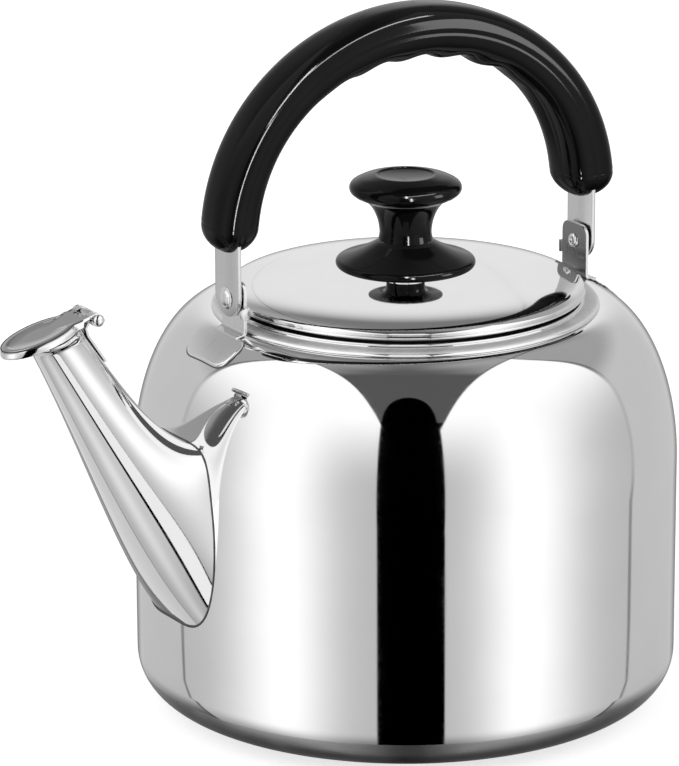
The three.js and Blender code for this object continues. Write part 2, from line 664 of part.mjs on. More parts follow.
function knobScrewWasher() {
  const top = LID_TOP + LID_CROWN - SHEET - GAP;
  return revolve([[SCREW_HOLE, top - 1], [7, top - 1], [7, top], [SCREW_HOLE, top]], 20, true);
}

// ---------------------------------------------------------------- the kettle

const kettle = new THREE.Group();
const vessel = new THREE.Group();
vessel.position.z = BASE_DROP;
kettle.add(vessel);

vessel.add(piece('body_shell', bodyShell(), steel()));
vessel.add(piece('base_core', baseCore(), aluminium()));
vessel.add(piece('base_cover', baseCover(), steel()));
vessel.add(piece('spout_tube', spoutTube(), steel()));
vessel.add(piece('cap_bracket', capBracket(), cutSteel()));
vessel.add(piece('cap_pin', capPin(), steel()));

const whistle = new THREE.Group();
whistle.add(piece('whistle_cap', whistleCap(), steel()));
whistle.add(piece('whistle_cup', whistleCup(), cutSteel()));
whistle.add(piece('whistle_plate', whistlePlate(), cutSteel()));
vessel.add(whistle);

const handle = new THREE.Group();
handle.add(piece('handle_grip', handleGrip(), bakelite()));
for (const [side, turn] of [['left', 0], ['right', Math.PI]]) {
  const drumCentre = turn ? HANDLE_OFFSET : -HANDLE_OFFSET;
  const fixed = new THREE.Group();
  fixed.position.x = HANDLE_OFFSET;
  fixed.rotation.z = turn;
  fixed.add(piece(`lug_${side}`, lug(drumCentre), cutSteel()));
  fixed.add(piece(`rivet_washer_${side}`, rivetWasher(), steel()));
  fixed.add(piece(`rivet_${side}`, rivet(), steel()));
  vessel.add(fixed);
  const swinging = new THREE.Group();
  swinging.position.x = HANDLE_OFFSET;
  swinging.rotation.z = turn;
  swinging.add(piece(`strap_${side}`, strap(), cutSteel()));
  handle.add(swinging);
}
vessel.add(handle);

const lid = new THREE.Group();
lid.add(piece('lid_shell', lidShell(), steel()));
lid.add(piece('knob_washer', knobWasher(), steel()));
lid.add(piece('knob_skirt', knobSkirt(), bakelite()));
lid.add(piece('knob_grip', knobGrip(), bakelite()));
lid.add(piece('knob_screw', knobScrew(), cutSteel()));
lid.add(piece('knob_screw_washer', knobScrewWasher(), cutSteel()));
vessel.add(lid);

export default kettle;
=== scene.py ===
# A polished stovetop whistling kettle with black bakelite grips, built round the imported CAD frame.
# Lengths below are in millimetres, +Z up from the drum's underside and the spout towards -X. They
# become metres over the floor that the base stands on when a mesh is made.

import math

import bmesh
import bpy
from mathutils import Matrix, Vector, noise


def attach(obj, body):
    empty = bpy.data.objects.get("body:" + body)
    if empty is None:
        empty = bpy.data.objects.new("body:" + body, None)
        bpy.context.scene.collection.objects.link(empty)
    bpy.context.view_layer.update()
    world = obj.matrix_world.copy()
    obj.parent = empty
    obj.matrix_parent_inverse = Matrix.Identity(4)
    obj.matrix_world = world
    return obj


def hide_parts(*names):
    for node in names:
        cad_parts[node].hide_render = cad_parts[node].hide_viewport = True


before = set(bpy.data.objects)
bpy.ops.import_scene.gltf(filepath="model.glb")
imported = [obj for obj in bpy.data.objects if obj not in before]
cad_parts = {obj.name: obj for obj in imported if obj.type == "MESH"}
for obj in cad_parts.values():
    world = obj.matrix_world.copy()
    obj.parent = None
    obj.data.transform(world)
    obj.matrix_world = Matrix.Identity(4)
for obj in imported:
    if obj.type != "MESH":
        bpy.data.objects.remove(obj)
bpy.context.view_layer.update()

MM = 0.001
TURN = 2 * math.pi

# ---------------------------------------------------------------- dimensions

DROP = 3.0  # the heat-spreading base stands this far below the drum
GAP = 0.3
SHEET = 1.2

BODY_RADIUS = 110.0
CORNER_RADIUS = 17.7
SHOULDER_START = 98.6
SHOULDER_TOP = 161.2
SHOULDER_INNER = 78.7
SHOULDER_POWER = 1.94
MOUTH_RADIUS = 60.0
COLLAR_RADIUS = 71.0
COLLAR_TOP = 165.9
COLLAR_LEDGE = 164.6
BASE_RADIUS = 86.0

LID_RADIUS = 72.3
LID_BOTTOM = 166.2
LID_TOP = 172.0
LID_CROWN = 0.5
LID_SKIRT_RADIUS = 59.3
LID_SKIRT_BOTTOM = 155.0
SCREW_HOLE = 2.5
FERRULE_RADIUS = 9.0
FERRULE_TOP = 174.4
KNOB_SPLIT = 187.4

PIN = Vector((-144.5, 0, 177.6))
CAP_TILT = math.radians(16.5)
CAP_TOP = 2.6
CAP_BOTTOM = -0.5
CAP_CENTRE = 22.0
CAP_SHEET = 1.0
KNUCKLE_RADIUS = 2.6
PIN_RADIUS = 1.2
LIP_CENTRE = 17.6
TAIL_HALF_WIDTH = 7.2
STRIP_HALF_WIDTH = 3.2

RIVET_HEIGHT = 175.4
HANDLE_OFFSET = 1.5
STRAP_REACH = 84.5
STRAP_THICKNESS = 1.8
STRAP_HALF_WIDTH = 9.0
STRAP_TOP = 215.0
STRAP_END = RIVET_HEIGHT + 1.6
WASHER_THICKNESS = 0.5
LUG_THICKNESS = 1.5
LUG_HALF_WIDTH = 8.7
LUG_REACH = STRAP_REACH - STRAP_THICKNESS - WASHER_THICKNESS - 2 * GAP

# centre, half span, rise and power of the grip's outer and inner outlines
GRIP_BASE = 196.5
GRIP_OUTER = (2.9, 93.9, 87.1, 2.0)
GRIP_INNER = (0.8, 72.8, 66.9, 2.14)
GRIP_LEG_HALF_WIDTH = 12.0
GRIP_TOP_HALF_WIDTH = 13.6
GRIP_SQUARENESS = 2.9
GRIP_LEG_DROP = 2.5
GRIP_END_LENGTH = 11.5
FINGER_PITCH = 19.5
FINGER_DEPTH = 2.0
FINGER_CENTRE = 4.75

SEAM_RADIUS = 0.3
MERGE_DISTANCE = 1e-7

# ---------------------------------------------------------------- mesh helpers


def round_turn(count):
    """Cosine and sine of even steps round a full turn."""
    return [(math.cos(TURN * i / count), math.sin(TURN * i / count)) for i in range(count)]


def vessel_mesh(name, verts, faces):
    """A mesh from vessel-frame millimetres (Z from the drum's underside)."""
    mesh = bpy.data.meshes.new(name)
    mesh.from_pydata([(x * MM, y * MM, (z + DROP) * MM) for x, y, z in verts], [], faces)
    return mesh


def clean(mesh, sharp=None):
    """Merge doubled points, turn the faces outwards and shade all but the sharp edges smooth."""
    work = bmesh.new()
    work.from_mesh(mesh)
    bmesh.ops.remove_doubles(work, verts=work.verts, dist=MERGE_DISTANCE)
    bmesh.ops.recalc_face_normals(work, faces=work.faces)
    for face in work.faces:
        face.smooth = True
    if sharp is not None:
        for edge in work.edges:
            if len(edge.link_faces) == 2 and edge.calc_face_angle(0) > math.radians(sharp):
                edge.smooth = False
    work.to_mesh(mesh)
    work.free()
    return mesh


def make(name, skin, *rest, **more):
    """A piece from vertices and faces in vessel-frame millimetres."""
    return finish_piece(name, vessel_mesh(name, *skin), *rest, **more)


def finish_piece(name, mesh, material, body, slot, nodes=(), sharp=None):
    """A piece that rides on its body and stands in for the CAD nodes that it replaces."""
    clean(mesh, sharp).materials.append(material)
    piece = bpy.data.objects.new(name, mesh)
    bpy.context.scene.collection.objects.link(piece)
    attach(piece, body)
    if nodes:
        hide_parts(*nodes)
    return piece


def paint(piece, material, chosen):
    """Give another material to the faces that are chosen by their middle and their normal."""
    piece.data.materials.append(material)
    index = len(piece.data.materials) - 1
    for face in piece.data.polygons:
        middle = face.center / MM - Vector((0, 0, DROP))
        if chosen(middle, face.normal):
            face.material_index = index


def lathe(profile, segments=160):
    """Vertices and faces of [radius, height] pairs turned about Z; a radius of 0 closes an end."""
    verts, faces, rings = [], [], []
    for radius, height in profile:
        ring = [(radius * c, radius * s, height) for c, s in round_turn(segments)]
        if radius < 1e-6:
            ring = [(0.0, 0.0, height)]
        rings.append(range(len(verts), len(verts) + len(ring)))
        verts += ring
    for low, high in zip(rings, rings[1:]):
        faces += strip_faces(low, high, segments)
    return verts, faces


def ring_skin(profile, segments):
    """Vertices and faces of a closed profile turned about Z."""
    turns = round_turn(segments)
    rings = [[Vector((radius * c, radius * s, height)) for c, s in turns] for radius, height in profile]
    return loft(rings, closed=True)


def strip_faces(low, high, count):
    """Faces between two rings of point numbers, either of which may be a single point."""
    faces = []
    for i in range(count):
        j = (i + 1) % count
        if len(low) == 1 and len(high) == 1:
            continue
        if len(low) == 1:
            faces.append((low[0], high[j], high[i]))
        elif len(high) == 1:
            faces.append((low[i], low[j], high[0]))
        else:
            faces.append((low[i], low[j], high[j], high[i]))
    return faces


def loft(rings, closed=False, caps=True):
    """A skin over rings of equal point counts. Capped ends are fans round a middle point."""
    count = len(rings[0])
    verts = [tuple(point) for ring in rings for point in ring]
    index = [list(range(k * count, (k + 1) * count)) for k in range(len(rings))]
    faces = []
    pairs = list(zip(index, index[1:]))
    if closed:
        pairs.append((index[-1], index[0]))
    for low, high in pairs:
        faces += strip_faces(low, high, count)
    if caps and not closed:
        for ring, points in ((index[0], rings[0]), (index[-1], rings[-1])):
            middle = sum((Vector(p) for p in points), Vector()) / count
            verts.append(tuple(middle))
            faces += [(ring[i], ring[(i + 1) % count], len(verts) - 1) for i in range(count)]
    return verts, faces


def arc(centre, radii, start, end, steps):
    """Points of an ellipse's arc, angles in degrees."""
    points = []
    for i in range(steps + 1):
        angle = math.radians(start + (end - start) * i / steps)
        points.append((centre[0] + radii[0] * math.cos(angle), centre[1] + radii[1] * math.sin(angle)))
    return points


def with_normals(path):
    """Each point of an open 2-D path, with the unit vector to its left."""
    last = len(path) - 1
    result = []
    for i, point in enumerate(path):
        along = (Vector(path[min(i + 1, last)]) - Vector(path[max(i - 1, 0)])).normalized()
        result.append((Vector(point), Vector((-along.y, along.x))))
    return result


def bent_strip(path, thickness, section_at, place):
    """A skin along a 2-D path, with a section of (across, through) pairs; place gives the 3-D point."""
    rings = []
    for here, out in with_normals(path):
        rings.append([place(here + out * (thickness / 2 * through), across)
                      for across, through in section_at(here)])
    return loft(rings)


def bead(line, lift_at, radius_at, sides=8, closed=False):
    """A thin round seam along a line of points, with its way up and its radius at each point."""
    last = len(line) - 1
    rings = []
    for i, point in enumerate(line):
        ahead = line[(i + 1) % len(line)] if closed else line[min(i + 1, last)]
        behind = line[i - 1] if closed else line[max(i - 1, 0)]
        along = (ahead - behind).normalized()
        lift = lift_at(point, along)
        across = along.cross(lift).normalized()
        radius = radius_at(point)
        rings.append([point + (lift * c + across * s) * radius for c, s in round_turn(sides)])
    return loft(rings, closed=closed)


def box(low, high, place=lambda x, y, z: (x, y, z)):
    """Vertices and faces of a block between two corners, whose own frame place turns into points."""
    sides = [(low[1], low[2]), (high[1], low[2]), (high[1], high[2]), (low[1], high[2])]
    verts = [tuple(place(x, y, z)) for x in (low[0], high[0]) for y, z in sides]
    return verts, [(0, 1, 2, 3), (4, 5, 6, 7), (0, 1, 5, 4), (1, 2, 6, 5), (2, 3, 7, 6), (3, 0, 4, 7)]


def rounded(points, radius, steps=4):
    """A 2-D outline with each corner that is given a radius rounded by a small curve."""
    result = []
    count = len(points)
    for i, point in enumerate(points):
        here = Vector(point)
        before = Vector(points[i - 1])
        after = Vector(points[(i + 1) % count])
        to_before, to_after = before - here, after - here
        reach = min(radius, to_before.length * 0.45, to_after.length * 0.45)
        a = here + to_before.normalized() * reach
        b = here + to_after.normalized() * reach
        for k in range(steps + 1):
            t = k / steps
            result.append(tuple((1 - t) ** 2 * a + 2 * t * (1 - t) * here + t * t * b))
    return result


def bend(value, power):
    """Cosine or sine reshaped so that a circle becomes a superellipse of that power."""
    return math.copysign(abs(value) ** (2 / power), value)


def bezier(a, b, c, d, t):
    return (1 - t) ** 3 * a + 3 * t * (1 - t) ** 2 * b + 3 * t * t * (1 - t) * c + t ** 3 * d


def smoothstep(low, high, value):
    t = min(max((value - low) / (high - low), 0.0), 1.0)
    return t * t * (3 - 2 * t)


# ---------------------------------------------------------------- materials
# Each one is a procedural node material, laid out in object space.


def node_material(name):
    material = bpy.data.materials.new(name)
    material.use_nodes = True
    tree = material.node_tree
    shader = tree.nodes["Principled BSDF"]
    place = tree.nodes.new("ShaderNodeTexCoord")
    return material, tree, shader, place.outputs["Object"]


def add(tree, kind, **settings):
    node = tree.nodes.new(kind)
    for key, value in settings.items():
        if hasattr(node, key):
            setattr(node, key, value)
        else:
            node.inputs[key].default_value = value
    return node


def noise_at(tree, place, scale, detail=2.0, stretch=(1, 1, 1)):
    mapping = add(tree, "ShaderNodeMapping")
    mapping.inputs["Scale"].default_value = stretch
    tree.links.new(place, mapping.inputs["Vector"])
    texture = add(tree, "ShaderNodeTexNoise")
    texture.inputs["Scale"].default_value = scale
    texture.inputs["Detail"].default_value = detail
    tree.links.new(mapping.outputs["Vector"], texture.inputs["Vector"])
    return texture.outputs["Fac"]


def spread(tree, value, low, high, start=0.3, end=0.7):
    """A noise value's range from start to end, its usual middle range, onto low..high."""
    node = add(tree, "ShaderNodeMapRange")
    for key, number in (("From Min", start), ("From Max", end), ("To Min", low), ("To Max", high)):
        node.inputs[key].default_value = number
    tree.links.new(value, node.inputs["Value"])
    return node.outputs["Result"]


def grey(tone):
    return (tone, tone, tone)


def tint(tree, value, low, high):
    """A colour between two near tones, by a noise value."""
    node = add(tree, "ShaderNodeValToRGB")
    node.color_ramp.elements[0].position = 0.3
    node.color_ramp.elements[0].color = (*low, 1)
    node.color_ramp.elements[1].position = 0.7
    node.color_ramp.elements[1].color = (*high, 1)
    tree.links.new(value, node.inputs["Fac"])
    return node.outputs["Color"]


def bump(tree, shader, height, strength, distance, before=None):
    node = add(tree, "ShaderNodeBump")
    node.inputs["Strength"].default_value = strength
    node.inputs["Distance"].default_value = distance
    tree.links.new(height, node.inputs["Height"])
    if before is not None:
        tree.links.new(before, node.inputs["Normal"])
    tree.links.new(node.outputs["Normal"], shader.inputs["Normal"])
    return node.outputs["Normal"]


def mirror_steel(name, rough=0.035, tone=0.86, ripple=0.010):
    """Buffed stainless steel: slow waves of the sheet, faint polishing haze and a few fine hairlines."""
    material, tree, shader, place = node_material(name)
    shader.inputs["Metallic"].default_value = 1.0
    haze = noise_at(tree, place, 38.0, 3.0)
    tree.links.new(tint(tree, haze, grey(tone), grey(tone + 0.03)), shader.inputs["Base Color"])
    hairs = noise_at(tree, place, 55.0, 4.0, (1.0, 1.0, 14.0))
    wear = add(tree, "ShaderNodeMath", operation="MULTIPLY")
    tree.links.new(haze, wear.inputs[0])
    tree.links.new(hairs, wear.inputs[1])
    roughness = spread(tree, wear.outputs["Value"], rough * 0.7, rough * 1.6, 0.12, 0.40)
    tree.links.new(roughness, shader.inputs["Roughness"])
    waves = noise_at(tree, place, 14.0, 1.0, (1.0, 1.0, 0.5))
    bump(tree, shader, waves, ripple, 0.01)
    return material


def brushed_steel(name, direction, rough=0.24, tone=0.68):
    """Sheet steel with the fine grain of the rolling direction."""
    material, tree, shader, place = node_material(name)
    shader.inputs["Metallic"].default_value = 1.0
    stretch = tuple(40.0 if axis else 1.0 for axis in direction)
    grain = noise_at(tree, place, 60.0, 5.0, stretch)
    cloud = noise_at(tree, place, 45.0, 2.0)
    tree.links.new(tint(tree, grain, grey(tone), grey(tone + 0.07)), shader.inputs["Base Color"])
    tree.links.new(spread(tree, cloud, rough * 0.8, rough * 1.25), shader.inputs["Roughness"])
    bump(tree, shader, grain, 0.06, 0.001)
    return material


def bakelite(name):
    """Glossy black moulding: a hard clear surface over black, with faint flow marks and dust-fine pores."""
    material, tree, shader, place = node_material(name)
    flow = noise_at(tree, place, 24.0, 2.0)
    pores = noise_at(tree, place, 900.0, 1.0)
    tree.links.new(tint(tree, flow, (0.0005, 0.0005, 0.0006), (0.0012, 0.0012, 0.0012)),
                   shader.inputs["Base Color"])
    tree.links.new(spread(tree, flow, 0.07, 0.12), shader.inputs["Roughness"])
    shader.inputs["Specular IOR Level"].default_value = 0.36
    shader.inputs["IOR"].default_value = 1.26
    first = bump(tree, shader, flow, 0.03, 0.004)
    bump(tree, shader, pores, 0.02, 0.0002, first)
    return material


def pressed_aluminium(name):
    material, tree, shader, place = node_material(name)
    shader.inputs["Metallic"].default_value = 1.0
    grain = noise_at(tree, place, 220.0, 4.0)
    tree.links.new(tint(tree, grain, (0.6, 0.6, 0.61), (0.7, 0.7, 0.71)), shader.inputs["Base Color"])
    tree.links.new(spread(tree, grain, 0.38, 0.5), shader.inputs["Roughness"])
    bump(tree, shader, grain, 0.2, 0.0006)
    return material


STEEL = mirror_steel("polished_steel_drum", ripple=0.005)
LID_STEEL = mirror_steel("polished_steel_lid", rough=0.045, ripple=0.006)
SPOUT_STEEL = mirror_steel("polished_steel_spout", rough=0.045, ripple=0.012)
CAP_STEEL = mirror_steel("polished_steel_cap", rough=0.07, tone=0.86, ripple=0.004)
# the cap's polished steel in a darker tone, painted shade for the cap's upward faces
CAP_TOP_PAINTED_SHADE = mirror_steel("polished_steel_cap_top_painted_shade", rough=0.09, tone=0.6, ripple=0.012)
BUTTON_STEEL = mirror_steel("polished_steel_rivets", rough=0.06, ripple=0.0)
INNER_STEEL = brushed_steel("drawn_steel_inside", (0, 0, 1), rough=0.3, tone=0.6)
COLLAR_STEEL = mirror_steel("polished_steel_collar", rough=0.05, ripple=0.003)
FLANGE_STEEL = brushed_steel("satin_steel_flange", (0, 0, 0), rough=0.55, tone=0.93)
STRAP_STEEL = brushed_steel("rolled_steel_straps", (0, 1, 0), rough=0.2, tone=0.7)
LUG_STEEL = brushed_steel("rolled_steel_lugs", (0, 1, 0), rough=0.2, tone=0.74)
# the lugs' rolled steel in a dark tone, painted shade for the faces that look towards the drum
LUG_BACK_PAINTED_SHADE = brushed_steel("lug_backs_painted_shade", (0, 1, 0), rough=0.13, tone=0.24)
# the lugs' rolled steel in a lighter tone, painted light on the feet that face up
FOOT_STEEL_PAINTED_LIGHT = brushed_steel("rolled_steel_feet_painted_lighter", (0, 1, 0), rough=0.2, tone=0.86)
# dark steel for the welds and seams, also used as painted shade on the faces inside the gap under the lid's
# rim
SEAM_AND_GAP_SHADE = brushed_steel("weld_seams_and_painted_gap_shade", (0, 0, 0), rough=0.4, tone=0.10)
SMALL_STEEL = brushed_steel("pressed_steel_small", (1, 0, 0), rough=0.22, tone=0.7)
BLACK = bakelite("black_bakelite")
ALUMINIUM = pressed_aluminium("pressed_aluminium")


# ---------------------------------------------------------------- the drum and its base


def shoulder(offset, steps):
    """The shoulder's outline at a distance outside the drum's own skin."""
    radial = BODY_RADIUS - SHOULDER_INNER + offset
    rise = SHOULDER_TOP - SHOULDER_START + offset
    points = []
    for i in range(steps + 1):
        angle = math.pi / 2 * i / steps
        points.append((SHOULDER_INNER + radial * bend(math.cos(angle), SHOULDER_POWER),
                       SHOULDER_START + rise * bend(math.sin(angle), SHOULDER_POWER)))
    return points


def outside_drum(point, offset):
    """Positive where the point is outside the drum's skin grown by the offset."""
    radius, height = math.hypot(point[0], point[1]), point[2]
    if height <= SHOULDER_START:
        return radius - BODY_RADIUS - offset
    if radius <= SHOULDER_INNER:
        return height - SHOULDER_TOP - offset
    across = (radius - SHOULDER_INNER) / (BODY_RADIUS - SHOULDER_INNER + offset)
    up = (height - SHOULDER_START) / (SHOULDER_TOP - SHOULDER_START + offset)
    return across ** SHOULDER_POWER + up ** SHOULDER_POWER - 1


def drum_height(radius, offset):
    """Height of the shoulder's skin, grown by the offset, at a radius."""
    if radius <= SHOULDER_INNER:
        return SHOULDER_TOP + offset
    across = min((radius - SHOULDER_INNER) / (BODY_RADIUS - SHOULDER_INNER + offset), 1.0)
    up = (1 - across ** SHOULDER_POWER) ** (1 / SHOULDER_POWER)
    return SHOULDER_START + (SHOULDER_TOP - SHOULDER_START + offset) * up


def boolean_cut(mesh, skin):
    """The mesh with a closed skin's inside taken out of it."""
    host = bpy.data.objects.new("host", mesh)
    tool = bpy.data.objects.new("tool", clean(vessel_mesh("cutter", *skin)))
    for item in (host, tool):
        bpy.context.scene.collection.objects.link(item)
    change = host.modifiers.new("cut", "BOOLEAN")
    change.operation = "DIFFERENCE"
    change.solver = "EXACT"
    change.object = tool
    graph = bpy.context.evaluated_depsgraph_get()
    result = bpy.data.meshes.new_from_object(host.evaluated_get(graph))
    for item in (host, tool):
        bpy.data.objects.remove(item)
    return result


def rod(radius, start, end, sides=20):
    """Vertices and faces of a capped round bar between two points."""
    turn = (Vector(end) - Vector(start)).to_track_quat("Z", "Y").to_matrix()
    rings = []
    for middle in (Vector(start), Vector(end)):
        rings.append([middle + turn @ Vector((radius * c, radius * s, 0)) for c, s in round_turn(sides)])
    return loft(rings)


def merged(parts):
    """Several vertex and face lists as one."""
    verts, faces = [], []
    for part_verts, part_faces in parts:
        start = len(verts)
        verts += part_verts
        faces += [tuple(i + start for i in face) for face in part_faces]
    return verts, faces


def strainer_holes():
    """Staggered rows of round bars through the wall behind the spout."""
    radius, pitch, row_pitch, lowest = 3, 13, 11, 62
    bars = []
    for row in range(5):
        count = 2 if row % 2 else 3
        for i in range(count):
            y, z = (i - (count - 1) / 2) * pitch, lowest + row_pitch * row
            bars.append(rod(radius, (-BODY_RADIUS - 8, y, z), (-BODY_RADIUS + 12, y, z)))
    return merged(bars)


def build_body():
    """The drum, from the middle of its underside up over the shoulder and back down inside."""
    corner = (BODY_RADIUS - CORNER_RADIUS, CORNER_RADIUS)
    inner_corner = CORNER_RADIUS - SHEET
    mouth = MOUTH_RADIUS + 4
    wall = [(BODY_RADIUS, z) for z in range(24, 96, 8)]
    outside = [(0, 0), (40, 0), (80, 0)]
    outside += arc(corner, (CORNER_RADIUS, CORNER_RADIUS), -90, 0, 24)
    outside += wall + shoulder(0, 48)
    outside += [(mouth, SHOULDER_TOP), (mouth, SHOULDER_TOP - SHEET)]
    inside = list(reversed(shoulder(-SHEET, 32)))
    inside += [(radius - SHEET, height) for radius, height in reversed(wall)]
    inside += arc(corner, (inner_corner, inner_corner), 0, -90, 12)
    inside += [(0, SHEET)]
    mesh = clean(vessel_mesh("drum_wall", *lathe(outside + inside, 200)))
    mesh = boolean_cut(mesh, strainer_holes())
    drum = finish_piece("drum", mesh, STEEL, "kettle", "polished_steel", ["body_shell"], sharp=28)
    paint(drum, INNER_STEEL, lambda middle, normal: outside_drum(middle, -SHEET * 0.6) < 0)


def off_axis(point):
    return math.hypot(point.x, point.y)


def build_collar():
    """The rolled ring seamed round the mouth: a bead outside, and the step that the lid rests on."""
    seat = COLLAR_RADIUS - 2.8
    neck = MOUTH_RADIUS + 3.9
    profile = [(MOUTH_RADIUS, SHOULDER_TOP - SHEET), (neck, SHOULDER_TOP - SHEET), (neck, SHOULDER_TOP + 0.02)]
    profile += [(SHOULDER_INNER - 1.0, SHOULDER_TOP + 0.02), (SHOULDER_INNER - 0.5, SHOULDER_TOP + 0.1)]
    profile += arc((SHOULDER_INNER - 2.6, SHOULDER_TOP - 0.3), (2.1, 2.0), 12, 86, 8)
    profile += [(COLLAR_RADIUS + 3.0, SHOULDER_TOP + 1.85), (COLLAR_RADIUS + 0.85, SHOULDER_TOP + 1.95)]
    profile += arc((COLLAR_RADIUS - 0.25, COLLAR_LEDGE - 0.75), (0.95, 0.75), -30, 100, 12)
    profile += [(seat + 0.6, COLLAR_LEDGE - 0.1), (seat + 0.1, COLLAR_LEDGE + 0.2)]
    profile += arc((seat - 0.5, COLLAR_TOP - 0.5), (0.5, 0.5), 0, 90, 4)
    profile += arc((MOUTH_RADIUS + 0.9, COLLAR_TOP - 0.9), (0.9, 0.9), 90, 180, 5)
    collar = make("mouth_collar", ring_skin(profile, 200), COLLAR_STEEL, "kettle", "polished_steel", sharp=40)
    # Painted shade: the step's faces inside the lid's rim, and the ring up to the mouth, are coloured dark for
    # the shade in the gap under the lid.
    gap_shade_floor, gap_shade_edge = COLLAR_LEDGE - 0.15, COLLAR_RADIUS - 0.6
    paint(collar, SEAM_AND_GAP_SHADE, lambda middle, normal: middle.z > gap_shade_floor and off_axis(middle) < gap_shade_edge)
    flange_floor, flange_edge = SHOULDER_TOP + 0.9, COLLAR_RADIUS + 0.75
    paint(collar, FLANGE_STEEL,
          lambda middle, normal: middle.z > flange_floor and off_axis(middle) > flange_edge)


def build_base():
    """The thin steel cover under the drum, and the aluminium disc that it holds."""
    inner, floor = BASE_RADIUS - 0.8, 0.8 - DROP
    edge = 1.4
    cover = [(0, -DROP), (60, -DROP)]
    cover += arc((BASE_RADIUS - edge, edge - DROP), (edge, edge), -90, 0, 6)
    cover += [(BASE_RADIUS, -GAP), (inner, -GAP), (inner, floor), (0, floor)]
    make("base_cover_skin", lathe(cover, 160), STEEL, "kettle", "polished_steel", ["base_cover"], sharp=35)
    radius, bottom = inner - GAP, floor + GAP
    core = [(0, bottom), (radius - 0.4, bottom), (radius, bottom + 0.4), (radius, -GAP), (0, -GAP)]
    make("base_core_disc", lathe(core, 120), ALUMINIUM, "kettle", "base_aluminium", ["base_core"], sharp=35)


# ---------------------------------------------------------------- the spout

SPOUT_LOWER = [Vector((-100.3, 0, 36.8)), Vector((-124.8, 0, 60.6)),
               Vector((-144.1, 0, 117.4)), Vector((-168.3, 0, 165.2))]
SPOUT_UPPER = [Vector((-103.2, 0, 122)), Vector((-117.7, 0, 124)),
               Vector((-133, 0, 149.6)), Vector((-147.2, 0, 170.7))]
SPOUT_WIDTH = (29.6, 25.4, 14.2, 10.3)
SPOUT_SIDES = 112
SPOUT_STEPS = 64
LIP_HALF_LENGTH = 12.4
LIP_HALF_WIDTH = 11.3


def spout_point(t, angle, wall):
    """A point of a section: a circle at the neck that grows into a squarer oval at the root."""
    low, high = bezier(*SPOUT_LOWER, t), bezier(*SPOUT_UPPER, t)
    middle, reach = (low + high) / 2, (high - low) / 2
    reach = reach.normalized() * (reach.length - wall)
    width = bezier(*SPOUT_WIDTH, t) - wall
    squareness = (0.7 if math.cos(angle) > 0 else 0.6) * (1 - t) ** 1.5
    across = math.copysign(abs(math.sin(angle)) ** (1 - squareness), math.sin(angle))
    point = middle + reach * math.cos(angle)
    return Vector((point.x, width * across, point.z))


def cap_point(along, across, height):
    """A point of the cap's own frame: along the cap from the pin, across it, and up."""
    return Vector((PIN.x - along * math.cos(CAP_TILT) - height * math.sin(CAP_TILT), across,
                   PIN.z - along * math.sin(CAP_TILT) + height * math.cos(CAP_TILT)))


def cap_ring(centre, along, across, height, sides):
    """An oval of the cap's own frame, at a height over the pin."""
    ring = []
    for i in range(sides):
        angle = math.pi - TURN * i / sides
        ring.append(cap_point(centre + along * math.cos(angle), across * math.sin(angle), height))
    return ring


def root_start(angle, wall):
    """How far along the spout its skin leaves the drum."""
    low, high = 0.0, 0.6
    for _ in range(40):
        t = (low + high) / 2
        if outside_drum(spout_point(t, angle, wall), -0.2) > 0:
            high = t
        else:
            low = t
    return high


def catmull(a, b, c, d, t):
    """A point of the smooth curve through b and c, which heads from a and on to d."""
    return 0.5 * ((2 * b) + (c - a) * t + (2 * a - 5 * b + 4 * c - d) * t ** 2
                  + (3 * b - a - 3 * c + d) * t ** 3)


def spout_skin(wall):
    """Rings from the root to the flared lip."""
    angles = [TURN * i / SPOUT_SIDES for i in range(SPOUT_SIDES)]
    starts = [root_start(angle, wall) for angle in angles]
    rings = []
    for k in range(SPOUT_STEPS + 1):
        share = k / SPOUT_STEPS
        rings.append([spout_point(start + (1 - start) * share, angle, wall)
                      for start, angle in zip(starts, angles)])
    lip = [(LIP_CENTRE - 1.6, LIP_HALF_LENGTH - 1.2, LIP_HALF_WIDTH - 0.9, -3.8),
           (LIP_CENTRE - 0.3, LIP_HALF_LENGTH - 0.2, LIP_HALF_WIDTH - 0.2, -2.3),
           (LIP_CENTRE, LIP_HALF_LENGTH, LIP_HALF_WIDTH, CAP_BOTTOM - GAP - 0.15)]
    lip_rings = [cap_ring(centre, along - wall, across - wall, height, SPOUT_SIDES)
                 for centre, along, across, height in lip]
    keys = [rings[-4], rings[-1], *lip_rings, lip_rings[-1]]
    for a, b, c, d in zip(keys, keys[1:], keys[2:], keys[3:]):
        for t in (0.25, 0.5, 0.75, 1.0):
            rings.append([catmull(p, q, r, s, t) for p, q, r, s in zip(a, b, c, d)])
    return rings


def weld_lift(point, along):
    """Square to the weld's line, as nearly away from the drum's axis as that allows."""
    side = along.cross(Vector((point.x, point.y, 0)).normalized()).normalized()
    return side.cross(along).normalized()


def build_spout():
    """The tapering tube with its flared lip, and the weld round its root."""
    outer, inner = spout_skin(0), spout_skin(SHEET)
    edge = cap_ring(LIP_CENTRE, LIP_HALF_LENGTH - SHEET / 2, LIP_HALF_WIDTH - SHEET / 2,
                    CAP_BOTTOM - GAP, SPOUT_SIDES)
    skin = loft([*outer, edge, *reversed(inner)], closed=True)
    make("spout", skin, SPOUT_STEEL, "kettle", "polished_steel", ["spout_tube"], sharp=50)
    noise.seed_set(7)
    weld = bead(outer[0], weld_lift, lambda point: 0.55 + 0.1 * noise.noise(point * 0.35), 10, closed=True)
    make("spout_weld", weld, SEAM_AND_GAP_SHADE, "kettle", "polished_steel")


# ---------------------------------------------------------------- sheet parts


